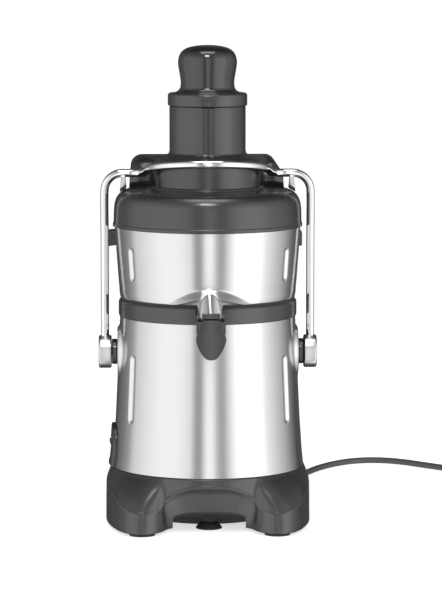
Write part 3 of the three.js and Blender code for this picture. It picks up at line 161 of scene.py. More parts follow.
def filleted(corners: Sequence[Point3], steps: int = 5) -> list[Point2]:
    """A profile whose corners are rounded.

    Args:
        corners: (radius, height, fillet) of each corner, with a fillet of 0 for a sharp one.
        steps: Points along each fillet.

    Returns:
        The (radius, height) points.
    """
    made: list[Point2] = []
    for i, (r, z, fillet) in enumerate(corners):
        here = Vector((r, z))
        if fillet <= 0 or i in (0, len(corners) - 1):
            made.append((r, z))
            continue
        before = Vector(corners[i - 1][:2]) - here
        after = Vector(corners[i + 1][:2]) - here
        reach = min(fillet, before.length * 0.48, after.length * 0.48)
        start = here + before.normalized() * reach
        end = here + after.normalized() * reach
        for k in range(steps + 1):
            t = k / steps
            at = start * (1 - t) ** 2 + here * (2 * t * (1 - t)) + end * t**2
            made.append((at.x, at.y))
    return made


def dense(line: Sequence[Point2], step: float) -> list[Point2]:
    """The same line with a point at least every step millimetres.

    Args:
        line: (radius, height) points.
        step: The most between two points.

    Returns:
        The denser line.
    """
    made = [line[0]]
    for (r0, z0), (r1, z1) in zip(line, line[1:]):
        count = max(1, math.ceil(math.hypot(r1 - r0, z1 - z0) / step))
        made += [(lerp(r0, r1, k / count), lerp(z0, z1, k / count)) for k in range(1, count + 1)]
    return made


def smooth_span(knots: Sequence[Vector], pieces: int) -> list[Vector]:
    """Points along one span of a centripetal Catmull-Rom curve.

    Args:
        knots: Four knots, of which the span joins the middle two.
        pieces: How many points the span gets, the first on its first knot.

    Returns:
        The points.
    """
    p0, p1, p2, p3 = knots
    t1 = math.sqrt((p1 - p0).length)
    t2 = t1 + math.sqrt((p2 - p1).length)
    t3 = t2 + math.sqrt((p3 - p2).length)
    made: list[Vector] = []
    for k in range(pieces):
        t = lerp(t1, t2, k / pieces)
        a1 = p0.lerp(p1, t / t1)
        a2 = p1.lerp(p2, (t - t1) / (t2 - t1))
        a3 = p2.lerp(p3, (t - t2) / (t3 - t2))
        b1 = a1.lerp(a2, t / t2)
        b2 = a2.lerp(a3, (t - t1) / (t3 - t1))
        made.append(b1.lerp(b2, (t - t1) / (t2 - t1)))
    return made


def curve_points(points: Sequence[Point3], step: float) -> list[Vector]:
    """Points along an open smooth curve.

    Args:
        points: The points that the curve passes through.
        step: About how far apart the new points are.

    Returns:
        The points of the curve.
    """
    knots = [Vector(p) for p in points]
    knots = [knots[0] * 2 - knots[1], *knots, knots[-1] * 2 - knots[-2]]
    made: list[Vector] = []
    for i in range(len(knots) - 3):
        pieces = max(1, math.ceil((knots[i + 2] - knots[i + 1]).length / step))
        made += smooth_span(knots[i : i + 4], pieces)
    return [*made, knots[-2].copy()]


# ---------------------------------------------------------------- finishes


class NodeBench:
    """A material's node tree and the few moves that the finishes share."""

    def __init__(self, name: str) -> None:
        """Starts a material with a Principled shader.

        Args:
            name: The material's name.
        """
        self.material = bpy.data.materials.new(name)
        self.material.use_nodes = True
        self.tree = self.material.node_tree
        self.tree.nodes.clear()
        self.shader = self.add("ShaderNodeBsdfPrincipled")
        output = self.add("ShaderNodeOutputMaterial")
        self.link(self.shader.outputs["BSDF"], output.inputs["Surface"])
        self.coords = self.add("ShaderNodeTexCoord")

    def add(self, kind: str) -> bpy.types.Node:
        """Adds a node of a kind."""
        return self.tree.nodes.new(kind)

    def link(self, output: bpy.types.NodeSocket, target: bpy.types.NodeSocket) -> None:
        """Joins two sockets."""
        self.tree.links.new(output, target)

    def mapped(self, scale: Point3, location: Point3 = (0, 0, 0)) -> bpy.types.NodeSocket:
        """Object coordinates in metres, stretched.

        Args:
            scale: How many pattern units a metre holds each way.
            location: A shift of the pattern.

        Returns:
            The mapped vector.
        """
        mapping = self.add("ShaderNodeMapping")
        mapping.inputs["Scale"].default_value = scale
        mapping.inputs["Location"].default_value = location
        self.link(self.coords.outputs["Object"], mapping.inputs["Vector"])
        return mapping.outputs["Vector"]

    def noise(self, vector: bpy.types.NodeSocket, detail: float, rough: float) -> bpy.types.NodeSocket:
        """A noise value over a mapped vector.

        Args:
            vector: The mapped vector.
            detail: Its octaves.
            rough: How strong the fine ones are.

        Returns:
            The noise.
        """
        noise = self.add("ShaderNodeTexNoise")
        noise.inputs["Scale"].default_value = 1
        noise.inputs["Detail"].default_value = detail
        noise.inputs["Roughness"].default_value = rough
        self.link(vector, noise.inputs["Vector"])
        return noise.outputs["Fac"]

    def spread(self, value: bpy.types.NodeSocket, low: float, high: float) -> bpy.types.NodeSocket:
        """Maps a noise's usual range onto low to high.

        Args:
            value: The noise.
            low: The least result.
            high: The greatest result.

        Returns:
            The spread value.
        """
        node = self.add("ShaderNodeMapRange")
        node.inputs["From Min"].default_value = 0.15
        node.inputs["From Max"].default_value = 0.85
        node.inputs["To Min"].default_value = low
        node.inputs["To Max"].default_value = high
        self.link(value, node.inputs["Value"])
        return node.outputs["Result"]

    def tone(self, value: bpy.types.NodeSocket, dark: Point3, light: Point3) -> None:
        """Colours the shader between two tones by a value.

        Args:
            value: The noise.
            dark: The tone where it is low.
            light: The tone where it is high.
        """
        ramp = self.add("ShaderNodeValToRGB")
        ramp.color_ramp.elements[0].position = 0.15
        ramp.color_ramp.elements[0].color = (*dark, 1)
        ramp.color_ramp.elements[1].position = 0.85
        ramp.color_ramp.elements[1].color = (*light, 1)
        self.link(value, ramp.inputs["Fac"])
        self.link(ramp.outputs["Color"], self.shader.inputs["Base Color"])

    def bump(self, value: bpy.types.NodeSocket, depth: float, strength: float = 1.0) -> None:
        """Raises the surface by a value times a depth in metres.

        Args:
            value: The pattern.
            depth: Its depth in metres.
            strength: How much it shows.
        """
        node = self.add("ShaderNodeBump")
        node.inputs["Distance"].default_value = depth
        node.inputs["Strength"].default_value = strength
        self.link(value, node.inputs["Height"])
        self.link(node.outputs["Normal"], self.shader.inputs["Normal"])


@dataclass(frozen=True)
class BrushedSteel:
    """Stainless sheet brushed round the machine, so its shine runs up and down."""

    name: str = "brushed_steel"
    dark: Point3 = (0.575, 0.58, 0.585)
    light: Point3 = (0.625, 0.63, 0.635)
    roughness: tuple[float, float] = (0.19, 0.25)
    anisotropy: float = 0.86
    lines_per_metre: float = 1500

    def build(self) -> bpy.types.Material:
        """Builds the material: fine lines in colour, roughness and height, with a grain direction.

        Returns:
            The material.
        """
        bench = NodeBench(self.name)
        fine = bench.noise(bench.mapped((6, 6, self.lines_per_metre)), 4, 0.7)
        broad = bench.noise(bench.mapped((5, 5, 90)), 2, 0.5)
        mixed = bench.add("ShaderNodeMath")
        mixed.operation = "MULTIPLY_ADD"
        mixed.inputs[1].default_value = 0.3
        bench.link(broad, mixed.inputs[0])
        scaled = bench.add("ShaderNodeMath")
        scaled.operation = "MULTIPLY"
        scaled.inputs[1].default_value = 0.7
        bench.link(fine, scaled.inputs[0])
        bench.link(scaled.outputs[0], mixed.inputs[2])
        bench.tone(mixed.outputs[0], self.dark, self.light)
        bench.link(bench.spread(mixed.outputs[0], *self.roughness), bench.shader.inputs["Roughness"])
        bench.bump(fine, 0.00001, 0.5)
        bench.shader.inputs["Metallic"].default_value = 1
        bench.shader.inputs["Anisotropic"].default_value = self.anisotropy
        grain = bench.add("ShaderNodeCombineXYZ")
        grain.inputs["Z"].default_value = 1
        bench.link(grain.outputs["Vector"], bench.shader.inputs["Tangent"])
        return bench.material


@dataclass(frozen=True)
class TurnedMetal:
    """Solid metal turned or polished, with faint marks across it."""

    name: str
    dark: Point3
    light: Point3
    roughness: tuple[float, float]
    grain: Point3 = (900, 60, 60)
    depth: float = 0.00001

    def build(self) -> bpy.types.Material:
        """Builds the material.

        Returns:
            The material.
        """
        bench = NodeBench(self.name)
        lines = bench.noise(bench.mapped(self.grain), 3, 0.6)
        smudge = bench.noise(bench.mapped((45, 45, 45)), 2, 0.5)
        bench.tone(lines, self.dark, self.light)
        bench.link(bench.spread(smudge, *self.roughness), bench.shader.inputs["Roughness"])
        bench.bump(lines, self.depth, 0.4)
        bench.shader.inputs["Metallic"].default_value = 1
        return bench.material


@dataclass(frozen=True)
class Moulded:
    """Moulded plastic or rubber, with a fine texture and a slow change of tone."""

    name: str
    dark: Point3
    light: Point3
    roughness: tuple[float, float]
    texture_per_metre: float = 1400
    depth: float = 0.00004
    coat: float = 0.0
    specular: float = 0.5

    def build(self) -> bpy.types.Material:
        """Builds the material.

        Returns:
            The material.
        """
        bench = NodeBench(self.name)
        scale = self.texture_per_metre
        texture = bench.noise(bench.mapped((scale, scale, scale)), 2, 0.5)
        cloud = bench.noise(bench.mapped((22, 22, 22)), 3, 0.5)
        bench.tone(cloud, self.dark, self.light)
        bench.link(bench.spread(cloud, *self.roughness), bench.shader.inputs["Roughness"])
        bench.bump(texture, self.depth, 0.6)
        bench.shader.inputs["Specular IOR Level"].default_value = self.specular
        bench.shader.inputs["Coat Weight"].default_value = self.coat
        bench.shader.inputs["Coat Roughness"].default_value = 0.06
        return bench.material


@dataclass(frozen=True)
class Worktop:
    """The pale plain surface under the machine."""

    name: str = "pale_worktop"
    tone: Point3 = (0.93, 0.93, 0.93)
    glow: float = 0.62

    def build(self) -> bpy.types.Material:
        """Builds the material.

        Returns:
            The material.
        """
        bench = NodeBench(self.name)
        bench.shader.inputs["Base Color"].default_value = (*self.tone, 1)
        bench.shader.inputs["Roughness"].default_value = 0.7
        bench.shader.inputs["Specular IOR Level"].default_value = 0.2
        bench.shader.inputs["Emission Color"].default_value = (1, 1, 1, 1)
        bench.shader.inputs["Emission Strength"].default_value = self.glow
        return bench.material


def build_finishes() -> dict[Finish, bpy.types.Material]:
    """Builds every finish on the machine, once.

    Returns:
        Each finish's material.
    """
    recipes: dict[Finish, BrushedSteel | TurnedMetal | Moulded] = {
        Finish.STEEL: BrushedSteel(),
        Finish.INNER_STEEL: TurnedMetal(
            "inner_steel", (0.42, 0.42, 0.43), (0.56, 0.56, 0.57), (0.25, 0.35), (60, 60, 1200)
        ),
        Finish.CHROME: TurnedMetal(
            "polished_rod", (0.70, 0.70, 0.71), (0.80, 0.80, 0.81), (0.04, 0.08), (30, 30, 30), 0.000002
        ),
        Finish.SATIN: TurnedMetal(
            "satin_hub", (0.50, 0.50, 0.51), (0.66, 0.66, 0.67), (0.22, 0.30), (1600, 30, 30)
        ),
        Finish.PLASTIC: Moulded(
            "grey_plastic", (0.016, 0.016, 0.017), (0.024, 0.024, 0.025), (0.20, 0.28), specular=0.8
        ),
        Finish.BASE_PLASTIC: Moulded(
            "base_plastic",
            (0.018, 0.018, 0.019),
            (0.027, 0.027, 0.028),
            (0.24, 0.32),
            texture_per_metre=1100,
            depth=0.00006,
            specular=0.85,
        ),
        Finish.GLOSS: Moulded(
            "gloss_plastic",
            (0.010, 0.010, 0.011),
            (0.015, 0.015, 0.016),
            (0.13, 0.19),
            texture_per_metre=600,
            depth=0.000005,
            coat=0.5,
        ),
        Finish.RUBBER: Moulded(
            "black_rubber", (0.012, 0.012, 0.012), (0.02, 0.02, 0.02), (0.6, 0.75)
        ),
        Finish.CAST: TurnedMetal(
            "cast_alloy", (0.38, 0.38, 0.39), (0.5, 0.5, 0.51), (0.45, 0.6), (500, 500, 500), 0.0001
        ),
        Finish.IRON: TurnedMetal(
            "laminated_iron", (0.10, 0.10, 0.11), (0.2, 0.2, 0.21), (0.4, 0.55), (20, 20, 2000), 0.00005
        ),
        Finish.BRASS: TurnedMetal(
            "plain_brass", (0.55, 0.40, 0.18), (0.68, 0.52, 0.26), (0.2, 0.3)
        ),
        Finish.JACKET: Moulded(
            "cord_jacket", (0.060, 0.061, 0.063), (0.075, 0.076, 0.078), (0.42, 0.5), 900, 0.00004
        ),
    }
    return {finish: recipe.build() for finish, recipe in recipes.items()}


# ---------------------------------------------------------------- making meshes


class Bench:
    """A bmesh in millimetres about the machine's axis, and the moves that shape it."""

    def __init__(self) -> None:
        """Starts an empty bmesh."""
        self.bm = bmesh.new()

    def line(self, points: Iterable[Sequence[float]], closed: bool = False) -> list[bmesh.types.BMEdge]:
        """Adds a row of vertices joined by edges.

        Args:
            points: The places of the vertices.
            closed: Whether the last joins the first.

        Returns:
            The edges.
        """
        verts = [self.bm.verts.new(p) for p in points]
        pairs = list(zip(verts, verts[1:]))
        if closed:
            pairs.append((verts[-1], verts[0]))
        return [self.bm.edges.new(pair) for pair in pairs]

    def spin(self, profile: Sequence[Point2], steps: int = 160, closed: bool = False) -> "Bench":
        """Turns a (radius, height) profile about Z.

        Args:
            profile: The profile's points.
            steps: Facets round the whole turn.
            closed: Whether the profile joins its own start.

        Returns:
            This bench.
        """
        edges = self.line([(r, 0, z) for r, z in profile], closed)
        verts = list(dict.fromkeys(v for e in edges for v in e.verts))
        eighth = max(1, round(steps / 8))
        bmesh.ops.spin(
            self.bm,
            geom=verts + edges,
            cent=(0, 0, 0),
            axis=(0, 0, 1),
            angle=math.pi / 4,
            steps=eighth,
            use_merge=False,
        )
        for turn in (math.pi / 4, math.pi / 2, math.pi):
            whole = self.bm.verts[:] + self.bm.edges[:] + self.bm.faces[:]
            copied = bmesh.ops.duplicate(self.bm, geom=whole)["geom"]
            moved = [g for g in copied if isinstance(g, bmesh.types.BMVert)]
            bmesh.ops.rotate(self.bm, cent=(0, 0, 0), matrix=Matrix.Rotation(turn, 3, "Z"), verts=moved)
        bmesh.ops.remove_doubles(self.bm, verts=self.bm.verts, dist=1e-3)
        return self

    def bridge(self, loops: Sequence[Sequence[Sequence[float]]], capped: bool = True) -> "Bench":
        """Skins closed loops of equal count, one after another.

        Args:
            loops: The loops, each a list of points.
            capped: Whether the first and last loops are filled; otherwise the last joins the first.

        Returns:
            This bench.
        """
        rows = [self.line(loop, closed=True) for loop in loops]
        pairs = list(zip(rows, rows[1:]))
        if not capped:
            pairs.append((rows[-1], rows[0]))
        for lower, upper in pairs:
            bmesh.ops.bridge_loops(self.bm, edges=lower + upper)
        if capped:
            for row in (rows[0], rows[-1]):
                bmesh.ops.holes_fill(self.bm, edges=row, sides=0)
        return self

    def prism(self, outline: Sequence[Sequence[float]], push: Sequence[float]) -> "Bench":
        """Extrudes a flat outline.

        Args:
            outline: The outline's points.
            push: How far and which way it is pushed.

        Returns:
            This bench.
        """
        face = self.bm.faces.new([self.bm.verts.new(p) for p in outline])
        made = bmesh.ops.extrude_face_region(self.bm, geom=[face])
        moved = [g for g in made["geom"] if isinstance(g, bmesh.types.BMVert)]
        bmesh.ops.translate(self.bm, verts=moved, vec=Vector(push))
        return self

    def soften(
        self,
        width: float,
        segments: int = 3,
        above: float = 40,
        where: Callable[[Vector], bool] | None = None,
    ) -> "Bench":
        """Bevels the sharp edges.

        Args:
            width: The bevel's width.
            segments: Its segments.
            above: The least angle of an edge that is bevelled, in degrees.
            where: A test of an edge's middle, or nothing for every edge.

        Returns:
            This bench.
        """
        bmesh.ops.remove_doubles(self.bm, verts=self.bm.verts, dist=1e-4)
        bmesh.ops.recalc_face_normals(self.bm, faces=self.bm.faces)
        sharp = [
            e
            for e in self.bm.edges
            if len(e.link_faces) == 2
            and math.degrees(e.calc_face_angle(0)) > above
            and (where is None or where((e.verts[0].co + e.verts[1].co) / 2))
        ]
        bmesh.ops.bevel(
            self.bm,
            geom=sharp,
            offset=width,
            segments=segments,
            affect="EDGES",
            profile=0.5,
            material=-1,
            clamp_overlap=True,
        )
        return self

    def push(self, move: Callable[[Vector], Vector]) -> "Bench":
        """Moves every vertex to where a function puts it.

        Args:
            move: Gives each vertex its new place.

        Returns:
            This bench.
        """
        for vert in self.bm.verts:
            vert.co = move(vert.co.copy())
        return self

    def turn(self, matrix: Matrix) -> "Bench":
        """Transforms the whole bmesh."""
        bmesh.ops.transform(self.bm, matrix=matrix, verts=self.bm.verts)
        return self

    def join(self, other: "Bench") -> "Bench":
        """Takes in another bench's mesh.

        Args:
            other: The bench that is taken in.

        Returns:
            This bench.
        """
        spare = bpy.data.meshes.new("spare")
        other.bm.to_mesh(spare)
        other.bm.free()
        self.bm.from_mesh(spare)
        bpy.data.meshes.remove(spare)
        return self

    def finish(self, name: str, crease: float = 32) -> bpy.types.Object:
        """Closes the bmesh into an object at the origin, in metres.

        Args:
            name: The object's name.
            crease: Edges sharper than this stay crisp, in degrees.

        Returns:
            The object.
        """
        bmesh.ops.remove_doubles(self.bm, verts=self.bm.verts, dist=1e-4)
        bmesh.ops.dissolve_degenerate(self.bm, dist=1e-5, edges=self.bm.edges)
        bmesh.ops.recalc_face_normals(self.bm, faces=self.bm.faces)
        for face in self.bm.faces:
            face.smooth = True
        for edge in self.bm.edges:
            if len(edge.link_faces) == 2:
                edge.smooth = math.degrees(edge.calc_face_angle(0)) < crease
        place = Matrix.Translation((0, AXIS_Y, 0)) @ Matrix.Scale(MM, 4)
        bmesh.ops.transform(self.bm, matrix=place, verts=self.bm.verts)
        mesh = bpy.data.meshes.new(name)
        self.bm.to_mesh(mesh)
        self.bm.free()
        made = bpy.data.objects.new(name, mesh)
        bpy.context.scene.collection.objects.link(made)
        return made


def cut(target: bpy.types.Object, cutter: bpy.types.Object, operation: str = "DIFFERENCE") -> None:
    """Cuts one object's shape out of another and throws the cutter away.

    Args:
        target: The object that is cut.
        cutter: The shape that is taken out, or kept with an INTERSECT operation.
        operation: DIFFERENCE or INTERSECT.
    """
    boolean = target.modifiers.new("cut", "BOOLEAN")
    boolean.operation = operation
    boolean.solver = "EXACT"
    boolean.object = cutter
    bpy.context.view_layer.update()
    graph = bpy.context.evaluated_depsgraph_get()
    made = bpy.data.meshes.new_from_object(target.evaluated_get(graph))
    target.modifiers.clear()
    old = target.data
    target.data = made
    made.name = old.name
    bpy.data.meshes.remove(old)
    spare = cutter.data
    bpy.data.objects.remove(cutter)
    bpy.data.meshes.remove(spare)


def box_bench(corner: Sequence[float], opposite: Sequence[float]) -> Bench:
    """A block between two opposite corners.

    Args:
        corner: One corner.
        opposite: The corner across from it.

    Returns:
        The block's bench.
    """
    bench = Bench()
    bmesh.ops.create_cube(bench.bm, size=1)
    size = [abs(b - a) for a, b in zip(corner, opposite)]
    middle = (Vector(corner) + Vector(opposite)) / 2
    return bench.turn(Matrix.Translation(middle) @ Matrix.Diagonal((*size, 1)))


def arc(centre: Point2, radius: float, start: float, end: float, steps: int) -> list[Point2]:
    """Points along an arc, with its angles in degrees."""
    angles = [math.radians(lerp(start, end, k / steps)) for k in range(steps + 1)]
    return [(centre[0] + radius * math.cos(a), centre[1] + radius * math.sin(a)) for a in angles]


def rounded_rectangle(half: float, low: float, high: float, corner: float, steps: int) -> list[Point2]:
    """A rectangle with round corners.

    Args:
        half: Half its width, either side of 0.
        low: Its lower edge.
        high: Its upper edge.
        corner: The corners' radius.
        steps: Facets round each corner.

    Returns:
        The outline's points, anticlockwise.
    """
    inner = half - corner
    below, above = low + corner, high - corner
    spots = [(inner, below), (inner, above), (-inner, above), (-inner, below)]
    made: list[Point2] = []
    for spot, start in zip(spots, (-90, 0, 90, 180)):
        made += arc(spot, corner, start, start + 90, steps)
    return made


class Dresser:
    """Hands finished pieces over: material, body, what they stand for, and a line in the log."""

    def __init__(self, finishes: dict[Finish, bpy.types.Material]) -> None:
        """Keeps the finishes."""
        self.finishes = finishes

    def dress(
        self,
        piece: bpy.types.Object,
        finish: Finish,
        body: Body,
        stands_for: Sequence[str] = (),
    ) -> bpy.types.Object:
        """Gives a piece its finish and its place on the machine.

        Args:
            piece: The finished object.
            finish: Its finish, which also names its slot.
            body: The body that it rides on.
            stands_for: The CAD nodes that it replaces.

        Returns:
            The piece.
        """
        piece.data.materials.clear()
        piece.data.materials.append(self.finishes[finish])
        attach(piece, body.value)
        if stands_for:
            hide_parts(*stands_for)
        LOG.info("%s rides on %s", piece.name, body.value)
        return piece

    def repaint(self, nodes: Sequence[str], finish: Finish) -> None:
        """Gives CAD nodes that stay a finish.

        Args:
            nodes: The CAD nodes.
            finish: Their finish.
        """
        for name in nodes:
            node = bpy.data.objects[name]
            node.data.materials.clear()
            node.data.materials.append(self.finishes[finish])
            LOG.info("%s keeps its CAD shape", name)


# ---------------------------------------------------------------- camera, light and floor


@dataclass
class Studio:
    """The pale floor, soft light and camera."""

    camera_back: float = 3.321
    camera_left: float = 0.081
    camera_height: float = 0.611
    aim_down: float = 6.32
    aim_pan: float = -0.247
    lens: float = 190.6
    floor_size: float = 120
    overhead_power: float = 7
    key_power: float = 9
    studio_level: float = 2.0
    ceiling_share: float = 0.3
    ceiling_span: Point2 = (0.35, 0.8)
    studio_round: list[Point2] = field(
        default_factory=lambda: [
            (-180, 0.03),
            (-158, 0.05),
            (-130, 0.14),
            (-114, 0.26),
            (-104, 0.50),
            (-80, 0.66),
            (-60, 0.76),
            (-38, 0.74),
            (-22, 0.62),
            (-17, 0.26),
            (-10, 0.22),
            (-3, 0.74),
            (4, 0.78),
            (11, 0.34),
            (18, 0.26),
            (27, 0.64),
            (37, 0.94),
            (68, 0.98),
            (78, 0.68),
            (96, 0.46),
            (110, 0.32),
            (124, 0.16),
            (140, 0.05),
            (180, 0.05),
        ]
    )

    def floor(self) -> None:
        """Lays the floor."""
        mesh = bpy.data.meshes.new("worktop")
        bm = bmesh.new()
        bmesh.ops.create_grid(bm, x_segments=1, y_segments=1, size=self.floor_size / 2)
        bm.to_mesh(mesh)
        bm.free()
        made = bpy.data.objects.new("worktop", mesh)
        bpy.context.scene.collection.objects.link(made)
        mesh.materials.append(Worktop().build())
        made.visible_glossy = False

    def softbox(
        self, name: str, azimuth: float, elevation: float, far: float, size: Point2, power: float
    ) -> None:
        """Hangs a soft light that faces the machine.

        Args:
            name: The light's name.
            azimuth: Degrees round from the front, positive to the right.
            elevation: Degrees above the machine's middle.
            far: Its distance from the machine's middle.
            size: Its width and height.
            power: Its power in watts.
        """
        data = bpy.data.lights.new(name, "AREA")
        data.shape = "RECTANGLE"
        data.size, data.size_y = size
        data.energy = power
        light = bpy.data.objects.new(name, data)
        a, e = math.radians(azimuth), math.radians(elevation)
        away = Vector((math.sin(a) * math.cos(e), -math.cos(a) * math.cos(e), math.sin(e)))
        middle = Vector((0, AXIS_Y, 0.25))
        light.location = middle + away * far
        light.rotation_mode = "QUATERNION"
        light.rotation_quaternion = away.to_track_quat("Z", "Y")
        light.visible_camera = False
        bpy.context.scene.collection.objects.link(light)

    def lights(self) -> None:
        """Puts the soft white studio round the machine, and hangs the overhead."""
        self.softbox("overhead", 0, 80, 1.8, (1.0, 0.8), self.overhead_power)
        self.softbox("key", -3, 50, 2.1, (0.45, 0.3), self.key_power)
        world = bpy.data.worlds.new("studio_air")
        world.use_nodes = True
        tree = world.node_tree
        sky = tree.nodes["Background"]

        def mapped(values: Point2, onto: Point2, source: bpy.types.NodeSocket) -> bpy.types.NodeSocket:
            """Maps a span of values onto another span.

            Args:
                values: The span that comes in.
                onto: The span that goes out.
                source: The value.

            Returns:
                The mapped value.
            """
            node = tree.nodes.new("ShaderNodeMapRange")
            names = ("From Min", "From Max", "To Min", "To Max")
            for name, value in zip(names, (*values, *onto)):
                node.inputs[name].default_value = value
            tree.links.new(source, node.inputs["Value"])
            return node.outputs["Result"]

        coords = tree.nodes.new("ShaderNodeTexCoord")
        split = tree.nodes.new("ShaderNodeSeparateXYZ")
        tree.links.new(coords.outputs["Generated"], split.inputs["Vector"])
        front = tree.nodes.new("ShaderNodeMath")
        front.operation = "MULTIPLY"
        front.inputs[1].default_value = -1
        tree.links.new(split.outputs["Y"], front.inputs[0])
        azimuth = tree.nodes.new("ShaderNodeMath")
        azimuth.operation = "ARCTAN2"
        tree.links.new(split.outputs["X"], azimuth.inputs[0])
        tree.links.new(front.outputs[0], azimuth.inputs[1])
        ramp = tree.nodes.new("ShaderNodeValToRGB")
        steps = ramp.color_ramp.elements
        steps.remove(steps[1])
        for k, (angle, level) in enumerate(self.studio_round):
            step = steps[0] if k == 0 else steps.new((angle + 180) / 360)
            step.color = (level, level, level, 1)
        share = mapped((-math.pi, math.pi), (0, 1), azimuth.outputs[0])
        tree.links.new(share, ramp.inputs["Fac"])
        tree.links.new(ramp.outputs["Color"], sky.inputs["Color"])
        levels = (self.studio_level, self.studio_level * self.ceiling_share)
        tree.links.new(mapped(self.ceiling_span, levels, split.outputs["Z"]), sky.inputs["Strength"])
        bpy.context.scene.world = world
        bpy.context.scene.view_settings.view_transform = "Standard"

    def camera(self) -> None:
        """Sets up the long lens, a little above and to the left of the spout."""
        data = bpy.data.cameras.new("camera")
        data.sensor_width = 36
        data.lens = self.lens
        data.clip_start = 0.05
        data.clip_end = 200
        camera = bpy.data.objects.new("camera", data)
        bpy.context.scene.collection.objects.link(camera)
        camera.location = (-self.camera_left, AXIS_Y - self.camera_back, self.camera_height)
        to_axis = math.atan2(self.camera_left, self.camera_back)
        pan = to_axis - math.radians(self.aim_pan)
        down = math.radians(self.aim_down)
        look = Vector((math.sin(pan) * math.cos(down), math.cos(pan) * math.cos(down), -math.sin(down)))
        camera.rotation_mode = "QUATERNION"
        camera.rotation_quaternion = look.to_track_quat("-Z", "Y")
        bpy.context.scene.camera = camera


# ---------------------------------------------------------------- the base


@dataclass
class BaseUnit:
    """The moulded base with its two front lobes and scooped front, and its feet."""

    dresser: Dresser
    seat_radius: float = 103.9
    wall: float = 3.5
    fullness: float = 0.68
    smoothing: int = 5
    notch_half_width: float = 38.6
    notch_top: float = 14.0
    stations: list[tuple[Point2, Point2, float]] = field(
        default_factory=lambda: [
            ((0, -64), (0, -105.5), 52),
            ((20, -64.5), (20, -103.5), 51),
            ((34, -67), (37, -98), 44),
            ((43, -75), (47, -94), 35),
            ((49, -89), (52, -97), 28),
            ((58, -102), (59, -103), 24),
            ((71, -107), (71, -106.5), 22.8),
            ((84, -102.5), (84, -102), 25),
            ((94, -88), (94, -87.5), 30),
            ((101, -68), (100.5, -68), 39),
            ((106.5, -42), (106, -42), 41),
            ((109.2, -8), (108.8, -8), 43),
            ((108.5, 30), (108, 30), 43),
            ((104, 62), (103.5, 62), 43),
            ((92, 88), (91.5, 87.5), 43),
            ((70, 102), (70, 101.5), 43),
            ((36, 108.5), (36, 108), 43),
            ((0, 110), (0, 109.5), 43),
        ]
    )

    def outlines(self) -> tuple[list[Vector], list[Vector]]:
        """The smooth closed lines at the wall's foot and head, point for point.

        Returns:
            The foot's line and the head's.
        """
        low = bottom_of("base_shell")
        half = self.stations
        back = [((-f[0], f[1]), (-h[0], h[1]), z) for f, h, z in reversed(half[1:-1])]
        whole = half + back
        feet = self.closed_line([(*foot, low) for foot, _, _ in whole])
        heads = self.closed_line([(*head, z) for _, head, z in whole])
        return feet, heads

    def closed_line(self, points: Sequence[Point3], per_span: int = 10) -> list[Vector]:
        """A closed smooth line with the same count of points in every span.

        Args:
            points: The points it passes through.
            per_span: Points in each span.

        Returns:
            The line's points.
        """
        knots = [Vector(p) for p in points]
        count = len(knots)
        made: list[Vector] = []
        for i in range(count):
            made += smooth_span([knots[(i + k) % count] for k in (-1, 0, 1, 2)], per_span)
        return made

    def inset(self, loop: Sequence[Vector], amount: float, drop: float = 0) -> list[Vector]:
        """A loop moved inwards in plan, and down.

        Args:
            loop: The loop.
            amount: How far inwards.
            drop: How far down.

        Returns:
            The moved loop.
        """
        made: list[Vector] = []
        for i, at in enumerate(loop):
            step = loop[(i + 1) % len(loop)] - loop[i - 1]
            side = Vector((-step.y, step.x, 0)).normalized()
            made.append(at + side * amount - Vector((0, 0, drop)))
        return made

    def seat(self, heads: Sequence[Vector], share: float, rise: float) -> list[Vector]:
        """The line a share of the way from the wall's head to the housing's seat.

        Args:
            heads: The wall's head.
            share: How far in towards the seat, from 0 to 1.
            rise: How far up, from 0 to 1.

        Returns:
            The line's points.
        """
        top = top_of("base_shell") - 1.2
        made: list[Vector] = []
        for head in heads:
            flat = Vector((head.x, head.y, 0))
            target = flat.normalized() * self.seat_radius
            at = flat.lerp(target, share)
            made.append(Vector((at.x, at.y, lerp(head.z, top, rise**self.fullness))))
        return made

    def lip(self, heads: Sequence[Vector], out: float, lift: float) -> list[Vector]:
        """The wall's head, swelled into a round lip where it faces the front."""
        swelled = self.inset(heads, -out, -lift)
        return [a.lerp(b, smoothstep(30, 70, -a.y)) for a, b in zip(heads, swelled)]

    def shell_loops(self) -> list[list[Vector]]:
        """The loops of the shell, up the outside and down the inside.

        Returns:
            The loops, with the same count of points in each.
        """
        feet, heads = self.outlines()
        low, top = bottom_of("base_shell"), top_of("base_shell")
        up = [self.inset(feet, 0.8), [p + Vector((0, 0, 0.8)) for p in feet]]
        for share in (0.2, 0.4, 0.6, 0.8, 0.92):
            up.append([f.lerp(h, share) + Vector((0, 0, 0.4)) for f, h in zip(feet, heads)])
        for out, lift in ((1.3, -0.6), (1.5, 0.7), (1.0, 1.9), (0, 2.4)):
            up.append(self.lip(heads, out, lift))
        slope = (0.05, 0.1, 0.18, 0.3, 0.45, 0.6, 0.75, 0.88, 1.0)
        up += [self.seat(heads, share, share) for share in slope]
        rim = self.seat(heads, 1, 1)
        flat = [Vector((p.x, p.y, top - 0.3)) for p in self.inset(rim, 0.5)]
        flat2 = [Vector((p.x, p.y, top)) for p in self.inset(rim, 1.4)]
        inner_top = [Vector((p.x, p.y, top)) for p in self.inset(rim, 30)]
        under = [Vector((p.x, p.y, top - 4)) for p in self.inset(rim, 30)]
        inside_top = [Vector((p.x, p.y, top - 4)) for p in self.inset(rim, self.wall + 1)]
        inside_head = self.inset(heads, self.wall, 3)
        inside_foot = [Vector((p.x, p.y, low)) for p in self.inset(feet, self.wall)]
        return up + [flat, flat2, inner_top, under, inside_top, inside_head, inside_foot]

